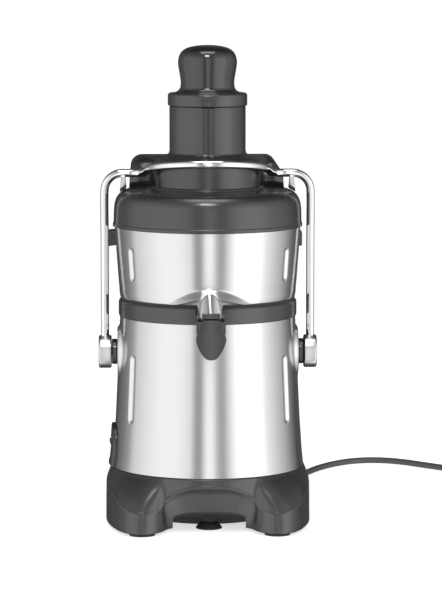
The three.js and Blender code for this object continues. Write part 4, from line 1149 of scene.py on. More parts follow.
    def shell(self) -> None:
        """Builds the base shell, smooths its shoulders and cuts its notch."""
        bench = Bench().bridge(self.shell_loops(), capped=False)
        for _ in range(self.smoothing):
            outside = self.seat_radius + 0.7
            shoulders = [v for v in bench.bm.verts if v.co.xy.length > outside and v.co.z > 20]
            bmesh.ops.smooth_vert(
                bench.bm, verts=shoulders, factor=0.5, use_axis_x=True, use_axis_y=True, use_axis_z=True
            )
        made = bench.finish("base_housing", 50)
        w, top = self.notch_half_width, self.notch_top
        outline = [(-w, -100, -5), (w, -100, -5)]
        outline += [(x, -100, z) for x, z in arc((w - 4, top - 4), 4, 0, 90, 6)]
        outline += [(x, -100, z) for x, z in arc((-w + 4, top - 4), 4, 90, 180, 6)]
        cut(made, Bench().prism(outline, (0, 55, 0)).finish("notch_cutter"))
        self.dresser.dress(made, Finish.BASE_PLASTIC, Body.MACHINE, ["base_shell"])

    def shade_rib(self) -> None:
        """Builds a dark rib under the base behind the centre foot, painted shade standing in for the
        shadow inside the scoop.
        """
        rib = [(x, y, 0.8) for x, y in arc((0, 36), 70, 229, 311, 24)]
        rib += [(x, y, 0.8) for x, y in arc((0, 36), 67, 311, 229, 24)]
        # Painted shade: the black rubber finish darkens what the notch shows under the base.
        made = Bench().prism(rib, (0, 0, 21)).finish("painted_shade_rib", 40)
        self.dresser.dress(made, Finish.RUBBER, Body.MACHINE)

    def seat_seam(self) -> None:
        """Builds the thin dark gasket line where the steel sits on the base."""
        top = top_of("base_shell")
        profile = [(101.2, top - 1.0), (103.0, top - 1.0), (103.4, top + 0.1)]
        profile += [(103.0, top + 0.6), (101.2, top + 0.6)]
        made = Bench().spin(profile, 160, closed=True).finish("seat_gasket")
        self.dresser.dress(made, Finish.RUBBER, Body.MACHINE)

    def foot(self, node: str) -> None:
        """Builds one rubber foot with a waist and a soft lower edge.

        Args:
            node: The foot's CAD node.
        """
        low, high = local_box(node)
        middle = (low + high) / 2
        r, rise = (high.x - low.x) / 2, bottom_of("base_shell") - 0.2
        corners = [(0, 0.2, 0), (r - 3.5, 0.2, 0.3), (r - 3, 0, 0.2), (r, 0, 1.2)]
        corners += [(r - 0.6, rise, 0.4), (0, rise, 0)]
        bench = Bench().spin(filleted(corners, 4), 48)
        made = bench.turn(Matrix.Translation((middle.x, middle.y, 0))).finish(f"rubber_{node}")
        self.dresser.dress(made, Finish.RUBBER, Body.MACHINE, [node])

    def centre_foot(self) -> None:
        """Builds the suction foot under the scoop: a stem, a neck and a thin cup."""
        low, high = local_box("centre_foot")
        middle = (low + high) / 2
        r, top = (high.x - low.x) / 2, high.z
        corners = [
            (0, 1.2, 0),
            (r - 5, 0.8, 1),
            (r - 0.6, 0, 0.3),
            (r, 0.6, 0.3),
            (r - 2.2, 4.0, 2),
            (9.5, 6.4, 1.5),
            (7.0, 7.4, 0.8),
            (7.0, 9.4, 0.8),
            (8.2, 10.0, 0.6),
            (8.2, top, 0.6),
            (0, top, 0),
        ]
        bench = Bench().spin(filleted(corners, 4), 56)
        made = bench.turn(Matrix.Translation((0, middle.y, 0))).finish("suction_foot")
        self.dresser.dress(made, Finish.RUBBER, Body.MACHINE, ["centre_foot"])

    def build(self) -> None:
        """Builds the whole base."""
        self.shell()
        self.shade_rib()
        self.seat_seam()
        for corner in ("front_left", "front_right", "rear_left", "rear_right"):
            self.foot(f"foot_{corner}")
        self.centre_foot()


# ---------------------------------------------------------------- sheet steel


FLUTE_ANGLES = (57, 123, -57, -123)


def flute_depth(
    angle: float, z: float, radius: float, span: Point2, depth: float, half: float
) -> float:
    """How deep the four pressed flutes are at a place on a turned wall.

    Args:
        angle: Degrees from the front.
        z: The height.
        radius: The wall's radius there.
        span: The flutes' lower and upper ends.
        depth: Their depth.
        half: Half their width.

    Returns:
        The depth, 0 outside them.
    """
    nearest = min(FLUTE_ANGLES, key=lambda a: abs(angle - a))
    across = math.radians(angle - nearest) * radius
    beyond = max(0.0, span[0] + half - z, z - (span[1] - half))
    far = math.hypot(across, beyond) / half
    return depth * (1 - far**2) ** 0.75 if far < 1 else 0.0


def front_angle(at: Vector) -> float:
    """Degrees round from the front, positive to the right."""
    return math.degrees(math.atan2(at.x, -at.y))


@dataclass
class MotorHousing:
    """The brushed cone over the motor, with flutes, pivot bosses and the switch pad."""

    dresser: Dresser
    sheet: float = 1.5
    flutes: Point2 = (113, 184)
    flute_depth: float = 2.4
    flute_half: float = 4.3
    boss_x: float = 96.6
    boss_radius: float = 28.5
    pad_half: float = 26
    pad_top: float = 106
    pad_proud: float = 3.9
    line: list[Point2] = field(
        default_factory=lambda: [
            (102.9, 61),
            (101.9, 70),
            (101.0, 79),
            (100.0, 95),
            (98.8, 112),
            (97.9, 130),
            (96.5, 160),
            (94.5, 205),
            (93.9, 217),
            (93.7, 221.7),
        ]
    )

    def press(self, at: Vector) -> Vector:
        """Moves a point of the wall into its flutes and out onto its bosses.

        Args:
            at: The point.

        Returns:
            Its new place.
        """
        radius = math.hypot(at.x, at.y)
        shape = (self.flutes, self.flute_depth, self.flute_half)
        inward = flute_depth(front_angle(at), at.z, radius, *shape)
        at = Vector((at.x * (1 - inward / radius), at.y * (1 - inward / radius), at.z))
        far = math.hypot(at.y, at.z - PIVOT_HEIGHT)
        lift = 1 - smoothstep(self.boss_radius - 3.2, self.boss_radius + 1.6, far)
        short = self.boss_x - abs(at.x)
        if lift > 0 and short > 0:
            at.x += math.copysign(short * lift, at.x)
        return at

    def wall(self) -> None:
        """Builds the sheet wall."""
        low, high = bottom_of("motor_housing"), top_of("motor_housing")
        outer = [(r, min(max(z, low), high)) for r, z in self.line]
        rows = dense(outer, 1.35)
        inner = [(r - self.sheet, z) for r, z in dense(outer, 5)]
        profile = rows + list(reversed(inner))
        made = Bench().spin(profile, 480, closed=True).push(self.press).finish("steel_housing", 60)
        self.dresser.dress(made, Finish.STEEL, Body.MACHINE, ["motor_housing"])

    def pad_outline(self, shrink: float, count: int = 96) -> list[Point2]:
        """The switch pad's rounded-top outline as (y, z) points, moved inwards.

        Args:
            shrink: How far inwards.
            count: Twice the facets of the round top.

        Returns:
            The outline's points.
        """
        half, top = self.pad_half - shrink, self.pad_top - shrink
        low = bottom_of("motor_housing") + 0.8 + shrink
        crown = arc((0, top - half), half, 0, 180, count // 2)
        left = [(-half, lerp(top - half, low, k / 16)) for k in range(1, 17)]
        foot = [(lerp(-half, half, k / 16), low) for k in range(1, 17)]
        right = [(half, lerp(low, top - half, k / 16)) for k in range(1, 16)]
        return crown + left + foot + right

    def window_outline(self, grow: float, like: Sequence[Point2]) -> list[Point2]:
        """The window's rounded outline, a point for each point of another outline.

        Args:
            grow: How far outwards.
            like: The outline whose points it matches.

        Returns:
            The outline's points.
        """
        middle = (0.0, middle_of("switch_rocker").z / MM)
        half_y, half_z = 11.5 + grow, 12 + grow
        made: list[Point2] = []
        for y, z in like:
            a = math.atan2(z - middle[1], y - middle[0])
            c, s = math.cos(a), math.sin(a)
            reach = (abs(c / half_y) ** 7 + abs(s / half_z) ** 7) ** (-1 / 7)
            made.append((middle[0] + reach * c, middle[1] + reach * s))
        return made

    def switch_pad(self) -> None:
        """Builds the moulded pad round the rocker, wrapped on the housing."""

        def wrap(outline: Sequence[Point2], proud: float) -> list[Point3]:
            """Lays an outline on the housing, proud of its wall."""
            radii = [read_line(self.line, z) + proud for _, z in outline]
            return [(-math.sqrt(r * r - y * y), y, z) for r, (y, z) in zip(radii, outline)]

        outer, ring = self.pad_outline(0), self.pad_outline(1.3)
        window = self.window_outline(0, outer)
        rows = [(outer, 0.2), (outer, 2.9), (self.pad_outline(0.5), 3.6), (ring, self.pad_proud)]
        for share in (0.2, 0.4, 0.6, 0.8):
            between = [(lerp(a[0], b[0], share), lerp(a[1], b[1], share)) for a, b in zip(ring, window)]
            rows.append((between, self.pad_proud))
        rows += [(self.window_outline(0.9, outer), self.pad_proud)]
        rows += [(self.window_outline(0.2, outer), 3.5)]
        rows += [(window, 2.8), (window, 0.2)]
        loops = [wrap(outline, proud) for outline, proud in rows]
        made = Bench().bridge(loops, capped=False).finish("switch_pad", 40)
        self.dresser.dress(made, Finish.PLASTIC, Body.MACHINE, ["switch_bezel"])

    def rocker(self) -> None:
        """Builds the rocker with its dished faces."""
        low, high = local_box("switch_rocker")
        half = (high.y - low.y) / 2
        middle = (low + high) / 2
        outline = [(4, -8.5), (-3.6, -10.3), (-2.9, -6), (-2.1, 0), (-2.9, 6), (-3.6, 10.3), (4, 8.5)]
        bench = Bench().prism([(x, -half, z) for x, z in outline], (0, 2 * half, 0)).soften(0.8, 3, 25)
        bench.turn(Matrix.Rotation(math.radians(-6), 4, "Y"))
        made = bench.turn(Matrix.Translation((-101.0, 0, middle.z))).finish("rocker_key")
        self.dresser.dress(made, Finish.GLOSS, Body.ROCKER, ["switch_rocker"])

    def build(self) -> None:
        """Builds the housing and its switch."""
        self.wall()
        self.switch_pad()
        self.rocker()


@dataclass
class Bowl:
    """The steel bowl, its collar, its spout, and a black ring under it that is painted shadow in the
    gap.
    """

    dresser: Dresser
    sheet: float = 1.5
    flutes: Point2 = (264, 298)
    flute_depth: float = 2.2
    flute_half: float = 4.0
    seat: float = 242.6
    brow_peak: float = 260
    brow_half_width: float = 44
    brow_slope: float = 0.78
    collar_radius: float = 95.1
    collar_notch: float = 231.5
    spout_half_width: float = 13.6
    spout_side: float = 8.0
    spout_wall: float = 1.2
    spout_steps: int = 12
    spout_root: Point2 = (-80, 247.6)
    spout_tip: Point2 = (-141, 225.4)

    def line(self) -> list[Point2]:
        """The bowl's outer wall.

        Returns:
            Its (radius, height) points.
        """
        top = top_of("juice_bowl")
        return [
            (93.3, self.seat),
            (94.1, 247),
            (94.5, 254),
            (95.3, 262),
            (96.3, 277),
            (97.3, 290),
            (98.6, 312),
            (99.0, top - 0.6),
        ]

    def brow(self, x: float) -> float:
        """The height of the bell-shaped crease over the spout."""
        far = min(1.0, abs(x) / self.brow_half_width)
        return lerp(self.brow_peak, self.seat + 1.2, far**1.8)

    def lip(self, x: float) -> float:
        """The height of the bowl's lower edge, lifted beside the spout."""
        far = min(1.0, abs(x) / (self.brow_half_width - 4))
        return lerp(self.seat + 6.5, self.seat, smoothstep(0.2, 1.0, far))

    def press(self, at: Vector) -> Vector:
        """Moves a point of the wall into its flutes and out under the brow.

        Args:
            at: The point.

        Returns:
            Its new place.
        """
        radius = math.hypot(at.x, at.y)
        shape = (self.flutes, self.flute_depth, self.flute_half)
        inward = flute_depth(front_angle(at), at.z, radius, *shape)
        at = Vector((at.x * (1 - inward / radius), at.y * (1 - inward / radius), at.z))
        if at.y > 0 or abs(at.x) > self.brow_half_width:
            return at
        crease = self.brow(at.x)
        below = crease - at.z
        if below <= 0 or at.z < self.seat - 0.5:
            return at
        share = below / (crease - self.seat)
        out = self.brow_slope * (math.sqrt(below * below + 2.2) - 1.48)
        height = lerp(crease, self.lip(at.x), min(1.0, share))
        return Vector((at.x * (1 + 0.2 * out / radius), at.y - out, height))

    def wall(self) -> None:
        """Builds the bowl with its floor, rolled rim and pressed front."""
        low = bottom_of("juice_bowl")
        outer = dense(self.line(), 1.2)
        top = top_of("juice_bowl")
        rim = [(98.9, top), (95.2, top), (95.2, top - 1.4), (97.3, top - 3)]
        inner = [(r - self.sheet, z) for r, z in reversed(dense(self.line()[:-1], 1.6))]
        floor = [(90.4, self.seat - 0.8), (88.6, low + 3), (86, low + 1.4), (12.5, low + 1.4)]
        hub = [(12.5, low + 7), (11, low + 7), (11, low)]
        under = [(86.6, low), (90, low + 3), (91.8, self.seat - 0.8)]
        profile = outer + rim + inner + floor + hub + under
        made = Bench().spin(profile, 480, closed=True).push(self.press).finish("steel_bowl", 60)
        self.dresser.dress(made, Finish.STEEL, Body.MACHINE, ["juice_bowl"])

    def shadow_ring(self) -> None:
        """Builds a black ring that is painted shade, standing in for the shadow in the gap between bowl
        and collar.
        """
        top = top_of("collar_ring")
        profile = [(91.9, top - 4), (93.1, top - 4), (93.0, self.seat + 2.2), (91.9, self.seat + 2.2)]
        # Painted shadow: the black rubber finish fills the gap where there is only shade.
        made = Bench().spin(profile, 200, closed=True).finish("painted_shadow_ring")
        self.dresser.dress(made, Finish.RUBBER, Body.MACHINE)

    def section(self, at: Point2, inset: float, tilt: float) -> list[Point3]:
        """One arched section of the spout.

        Args:
            at: The (y, z) of the arch's middle.
            inset: How far the line lies inside the outer face.
            tilt: The slope's angle in radians.

        Returns:
            The loop's points.
        """
        w, low, round_off = self.spout_half_width - inset, -self.spout_side + inset, max(3 - inset, 1)
        loop = arc((0, 0), w, 0, 180, 28)
        loop += arc((-w + round_off, low + round_off), round_off, 180, 270, 5)
        loop += arc((w - round_off, low + round_off), round_off, 270, 360, 5)
        return [(x, at[0] + h * math.sin(tilt), at[1] + h * math.cos(tilt)) for x, h in loop]

    def spout(self) -> None:
        """Builds the arched spout with its folded lip."""
        (y0, z0), (y1, z1) = self.spout_root, self.spout_tip
        tilt = -math.atan2(z0 - z1, y0 - y1)
        steps = [k / self.spout_steps for k in range(self.spout_steps + 1)]
        middles = [(lerp(y0, y1, t), lerp(z0, z1, t)) for t in steps]
        outside = [self.section(at, 0, tilt) for at in middles]
        inside = [self.section(at, self.spout_wall, tilt) for at in reversed(middles)]
        made = Bench().bridge(outside + inside, capped=False).finish("steel_spout", 50)
        self.dresser.dress(made, Finish.STEEL, Body.MACHINE, ["juice_spout"])

    def collar(self) -> None:
        """Builds the dark collar under the bowl, notched round the spout."""
        low, top, r = bottom_of("collar_ring"), top_of("collar_ring"), self.collar_radius
        corners = [
            (86, low, 0),
            (r - 0.7, low, 0.4),
            (r - 0.2, low + 1.0, 0.5),
            (r, low + 2.2, 0.5),
            (r, top - 2.6, 1.2),
            (r - 1.0, top - 0.7, 0.8),
            (r - 2.2, top, 0.4),
            (91.3, top, 0.4),
            (91.3, low + 3, 0),
            (86, low + 3, 0),
        ]
        made = Bench().spin(filleted(corners, 4), 256, closed=True).finish("collar_band", 40)
        w = self.spout_half_width + 0.7
        notch = self.collar_notch
        outline = [(-w, -110, top + 10), (-w, -110, notch), (w, -110, notch), (w, -110, top + 10)]
        cutter = Bench().prism(outline, (0, 40, 0)).soften(2.0, 4, 40, lambda at: at.z < top)
        cut(made, cutter.finish("collar_cutter"))
        self.dresser.dress(made, Finish.PLASTIC, Body.MACHINE, ["collar_ring"])

    def build(self) -> None:
        """Builds the bowl and what is round it."""
        self.wall()
        self.shadow_ring()
        self.spout()
        self.collar()


@dataclass
class Flap:
    """The hanging leaf that closes the spout's mouth."""

    dresser: Dresser
    half_width: float = 15.5
    neck: float = 9.2
    top: float = 233.2
    thickness: float = 2.2
    eye_radius: float = 3.2
    cheek_inside: float = 12.9
    cheek_width: float = 2.1

    def leaf_outline(self, low: float) -> list[Point2]:
        """The leaf's outline: a narrow neck, shoulders and a round tip.

        Args:
            low: The height of its tip.

        Returns:
            The outline's (x, height) points.
        """
        top = self.top
        side = curve_points(
            [
                (self.half_width - 1.6, 0, top - 13.6),
                (self.half_width, 0, top - 19),
                (self.half_width - 1.0, 0, top - 25),
                (self.half_width - 4.6, 0, top - 33),
                (self.half_width - 8.6, 0, top - 38.4),
                (4.2, 0, low + 0.8),
                (0, 0, low),
            ],
            1.2,
        )
        right = [(self.neck, top), (self.neck, top - 8.6)] + [(p.x, p.z) for p in side]
        return right + [(-x, z) for x, z in reversed(right[:-1])]

    def leaf(self, low: Vector) -> None:
        """Builds the leaf, down to its node's lowest corner.

        Args:
            low: The node's lowest corner.
        """
        outline = [(x, low.y, z) for x, z in self.leaf_outline(low.z)]
        bench = Bench().prism(outline, (0, self.thickness, 0))
        made = bench.soften(0.5, 3, 40).finish("flap_leaf", 35)
        self.dresser.dress(made, Finish.PLASTIC, Body.FLAP, ["spout_flap"])

    def ears(self, front: float) -> None:
        """Builds the two cheeks that reach back to the pin.

        Args:
            front: Where the leaf's front face is.
        """
        pin = middle_of("flap_pin")
        y, z = (pin.y - AXIS_Y) / MM, pin.z / MM
        cheek = [(front + 1.6, z - 2.4), (front + 1.6, z - 15.5), (front + 5, z - 14)]
        cheek += arc((y, z), self.eye_radius, -30, 120, 5)
        bench = Bench()
        for side in (-1, 1):
            outline = [(side * self.cheek_inside, a, b) for a, b in cheek]
            bench.join(Bench().prism(outline, (side * self.cheek_width, 0, 0)).soften(0.5, 2))
            wing = box_bench((side * 8.6, front + 1.5, z - 15), (side * 14.9, front + 3.4, z - 2.6))
            bench.join(wing.soften(0.4, 2))
        made = bench.finish("flap_ears", 35)
        self.dresser.dress(made, Finish.PLASTIC, Body.FLAP)

    def lap(self, front: float) -> None:
        """Builds the little tab that laps over the spout's end.

        Args:
            front: Where the leaf's front face is.
        """
        tab = box_bench((-9.4, front + 0.3, 234.6), (9.4, front + 3.0, 240.2)).soften(0.8, 3)
        made = tab.finish("flap_lap", 35)
        self.dresser.dress(made, Finish.PLASTIC, Body.FLAP)

    def build(self) -> None:
        """Builds the flap."""
        low, _ = local_box("spout_flap")
        self.leaf(low)
        self.ears(low.y)
        self.lap(low.y)


# ---------------------------------------------------------------- lid, pusher and bin


@dataclass
class Lid:
    """The moulded lid: dome, turret, feed chute, and the hood that throws pulp into the bin."""

    dresser: Dresser
    wall: float = 2.4
    bore: float = 38.0
    chute: float = 40.6
    chute_foot: float = 272
    hood_half_width: float = 84
    hood_front: float = 25
    hood_back: float = 230
    hood_top: float = 382
    hood_bend: float = 42
    hood_skirt: float = 308
    hood_corner: float = 15
    bridge_back: float = 110.6
    rib_half_width: float = 7.6
    rib_depth: float = 1.5
    line: list[Point3] = field(
        default_factory=lambda: [
            (101.1, 318.0, 0),
            (101.1, 321.0, 0.7),
            (100.3, 321.8, 0.5),
            (99.9, 337, 12),
            (98.9, 344, 5),
            (96.7, 349.2, 5),
            (93.6, 352.9, 4),
            (89.1, 355.7, 4),
            (85.1, 356.9, 3),
            (61.2, 358.5, 1),
            (61.0, 359.6, 0.5),
            (59.9, 360.0, 0.5),
            (57.2, 360.6, 0.5),
            (57.0, 384.4, 3),
            (55.6, 388.4, 3),
            (51.8, 391.2, 4),
            (44.2, 393.4, 3),
            (41.2, 395.2, 1.5),
            (40.6, 399, 2),
        ]
    )

    def press(self, at: Vector) -> Vector:
        """Raises the upright rib on the chute's front, with a fine groove down its middle.

        Args:
            at: The point.

        Returns:
            Its new place.
        """
        radius = math.hypot(at.x, at.y)
        if at.y > 0 or at.z < 388 or radius < self.chute - 0.3 or abs(at.x) > self.rib_half_width + 1.6:
            return at
        fade = smoothstep(389, 396, at.z)
        rise = 1 - smoothstep(self.rib_half_width - 1.1, self.rib_half_width + 0.5, abs(at.x))
        groove = 1.1 * (1 - smoothstep(0.3, 1.3, abs(at.x)))
        at.y -= fade * (self.rib_depth * rise - groove)
        return at

    def dome(self) -> None:
        """Builds the turned part: dome, turret and chute."""
        top = top_of("lid")
        outer = dense(filleted(self.line), 4) + [(self.chute, top - 1.2), (self.chute - 0.6, top)]
        inner = [
            (self.bore + 0.4, top),
            (self.bore, top - 0.6),
            (self.bore, self.chute_foot),
            (self.chute, self.chute_foot),
            (self.chute, 390.6),
            (50, 388.6),
            (54.2, 385.4),
            (54.8, 382),
            (54.8, 356.2),
            (85, 354.3),
            (91.4, 351.2),
            (95.6, 346),
            (97.4, 337),
            (98.3, 318.0),
        ]
        made = Bench().spin(outer + inner, 384, closed=True).push(self.press).finish("lid_dome", 38)
        passage = box_bench((-78, 60, 322), (78, 108, 377)).soften(8, 4, 40).finish("passage_cutter")
        cut(made, passage)
        self.dresser.dress(made, Finish.PLASTIC, Body.MACHINE, ["lid"])

    def hood_block(self, inset: float, name: str) -> bpy.types.Object:
        """Builds the hood's block with its rounded back and corners.

        Args:
            inset: How far its faces lie inside the outer ones.
            name: The object's name.

        Returns:
            The object.
        """
        w, back, top = self.hood_half_width - inset, self.hood_back - inset, self.hood_top - inset
        front, floor, skirt = self.hood_front + inset, 319 + inset, self.hood_skirt - 3 * inset
        bridge, bend, corner = self.bridge_back + inset, self.hood_bend, self.hood_corner - inset
        side = [(front, floor), (bridge, floor), (bridge, skirt), (back, skirt)]
        side += arc((self.hood_back - bend, self.hood_top - bend), bend - inset, 0, 90, 20)
        side += [(front, top)]
        made = Bench().prism([(-110, y, z) for y, z in side], (220, 0, 0)).finish(name, 38)
        across = [(-w, 280), (w, 280), (w, 340)]
        across += arc((w - 2 - corner, top - corner), corner, 0, 90, 12)
        across += arc((-w + 2 + corner, top - corner), corner, 90, 180, 12) + [(-w, 340)]
        arch = Bench().prism([(x, 0, z) for x, z in across], (0, 260, 0)).finish("across")
        cut(made, arch, "INTERSECT")
        return made

    def hood(self) -> None:
        """Builds the hood, hollow and open over the bin."""
        made = self.hood_block(0, "pulp_hood")
        cut(made, self.hood_block(self.wall, "hood_hollow"))
        inside = [(0, 300), (99.6, 300), (99.6, 321)]
        inside += [(r - 0.8, z - 0.3) for r, z in filleted(self.line)[6:]]
        plug = inside + [(self.chute - 0.8, 440), (0, 440)]
        cut(made, Bench().spin(plug, 192).finish("dome_plug"))
        self.dresser.dress(made, Finish.PLASTIC, Body.MACHINE)

    def build(self) -> None:
        """Builds the lid."""
        self.dome()
        self.hood()


@dataclass
class Pusher:
    """The food pusher that slides in the chute, with its flange and glossy knob."""

    dresser: Dresser
    radius: float = 36.6
    wall: float = 2.6
    flange: float = 42.3
    flange_height: float = 13.5

    def stem(self) -> None:
        """Builds the hollow stem and its flange."""
        low, top = bottom_of("pusher"), top_of("pusher")
        under = top - self.flange_height
        corners = [
            (0, low, 0),
            (self.radius - 1.4, low, 0.5),
            (self.radius, low + 2.4, 1.5),
            (self.radius, under, 0),
            (self.flange - 0.5, under, 0.3),
            (self.flange, under + 0.8, 0.5),
            (self.flange, top - 2.2, 1.4),
            (self.flange - 1.2, top - 0.4, 0.8),
            (self.flange - 3, top, 0.6),
            (self.radius - self.wall, top, 0.5),
            (self.radius - self.wall, low + self.wall, 1),
            (0, low + self.wall, 0),
        ]
        made = Bench().spin(filleted(corners, 4), 256).finish("pusher_stem", 38)
        self.dresser.dress(made, Finish.PLASTIC, Body.PUSHER, ["pusher"])

    def arrow(self) -> None:
        """Builds the small raised arrow on the flange's front."""
        top = top_of("pusher")
        y = -self.flange - 0.35
        shape = [(0, -4.2), (3.6, 1.2), (1.3, 1.2), (1.3, 4), (-1.3, 4), (-1.3, 1.2), (-3.6, 1.2)]
        bench = Bench().prism([(x, y, top - 7 + z) for x, z in shape], (0, 1.0, 0))
        made = bench.soften(0.2, 2, 40).finish("flange_arrow", 30)
        self.dresser.dress(made, Finish.GLOSS, Body.PUSHER)

    def knob(self) -> None:
        """Builds the turned knob."""
        low, top = top_of("pusher") + 0.3, top_of("pusher_knob")
        line = [
            (34.0, 0, low),
            (33.2, 0, low + 0.9),
            (30.6, 0, low + 2.6),
            (29.0, 0, low + 5.4),
            (28.5, 0, low + 9.5),
            (29.0, 0, low + 15.5),
            (30.2, 0, low + 22.5),
            (31.2, 0, low + 29),
            (31.35, 0, low + 33),
            (30.5, 0, low + 37.8),
            (28.0, 0, low + 42.6),
            (23.6, 0, low + 46.2),
            (16.5, 0, low + 48.6),
            (8, 0, low + 49.8),
            (0, 0, top),
        ]
        curve = [(p.x, p.z) for p in curve_points(line, 1.2)]
        profile = [(0, low - 6), (33, low - 6), (33, low)] + curve
        made = Bench().spin(profile, 200).finish("turned_knob", 60)
        self.dresser.dress(made, Finish.GLOSS, Body.PUSHER, ["pusher_knob"])

    def build(self) -> None:
        """Builds the pusher."""
        self.stem()
        self.arrow()
        self.knob()


@dataclass
class PulpBin:
    """The tall moulded bin behind the machine, with a lip and two finger lugs."""

    dresser: Dresser
    half_width: float = 92
    taper: float = 7
    front: float = 112.4
    depth: float = 122.6
    wall: float = 2.2
    corner: float = 22

    def ring(self, inset: float, share: float, z: float) -> list[Point3]:
        """A rounded rectangle across the bin.

        Args:
            inset: How far it lies inside the outer face, less than 0 for outside.
            share: How far up the bin it is, from 0 to 1.
            z: Its height.

        Returns:
            Its points.
        """
        w = lerp(self.half_width - self.taper, self.half_width, share) - inset
        y0 = self.front + (1 - share) + inset
        y1 = self.front + self.depth - self.taper * (1 - share) - inset
        return [(x, y, z) for x, y in rounded_rectangle(w, y0, y1, self.corner - inset, 10)]

    def cup(self) -> Bench:
        """The bin's body with a soft foot and a rolled lip.

        Returns:
            The body's bench.
        """
        low, high = 0.4, top_of("pulp_bin")
        rows = [(3.2, 0, low), (1.1, 0.004, low + 0.8), (0.2, 0.01, low + 2.6)]
        rows += [(0, k / 12, lerp(low, high, k / 12)) for k in range(1, 12)]
        rows += [(0, 0.97, high - 7.6), (-0.9, 0.975, high - 7.0)]
        rows += [(-1.0, 0.995, high - 0.9), (-0.4, 1, high)]
        rows += [(self.wall - 0.5, 1, high), (self.wall, 0.995, high - 0.8)]
        rows += [(self.wall, k / 12, lerp(low, high, k / 12)) for k in range(11, 0, -1)]
        rows += [(self.wall + 1.2, 0.02, low + self.wall + 1.2)]
        rows += [(self.wall + 3.5, 0.01, low + self.wall)]
        return Bench().bridge([self.ring(*row) for row in rows], capped=True)

    def build(self) -> None:
        """Builds the bin."""
        bench = self.cup()
        high = top_of("pulp_bin")
        middle = self.front + self.depth / 2
        for side in (-1, 1):
            shape = [(90.2, high - 4), (90.2, high - 20), (110, high - 23), (110, high - 6)]
            outline = [(side * x, middle - 15, z) for x, z in shape]
            bench.join(Bench().prism(outline, (0, 30, 0)).soften(2.2, 4, 40, lambda at: abs(at.x) > 95))
        made = bench.finish("pulp_bin_shell", 38)
        self.dresser.dress(made, Finish.PLASTIC, Body.BIN, ["pulp_bin"])


# ---------------------------------------------------------------- the bail


def tube(name: str, points: Sequence[Vector], radius: float, sides: int = 20) -> bpy.types.Object:
    """A round rod along a line, as a closed mesh in metres.

    Args:
        name: The object's name.
        points: The line, in millimetres about the axis.
        radius: The rod's radius.
        sides: Facets round it.

    Returns:
        The object.
    """
    loops: list[list[Vector]] = []
    side = Vector((0, 1, 0))
    for i, at in enumerate(points):
        ahead = (points[min(i + 1, len(points) - 1)] - points[max(i - 1, 0)]).normalized()
        side = (side - ahead * side.dot(ahead)).normalized()
        other = ahead.cross(side)
        angles = [2 * math.pi * k / sides for k in range(sides)]
        loops.append([at + (side * math.cos(a) + other * math.sin(a)) * radius for a in angles])
    return Bench().bridge(loops).finish(name, 60)


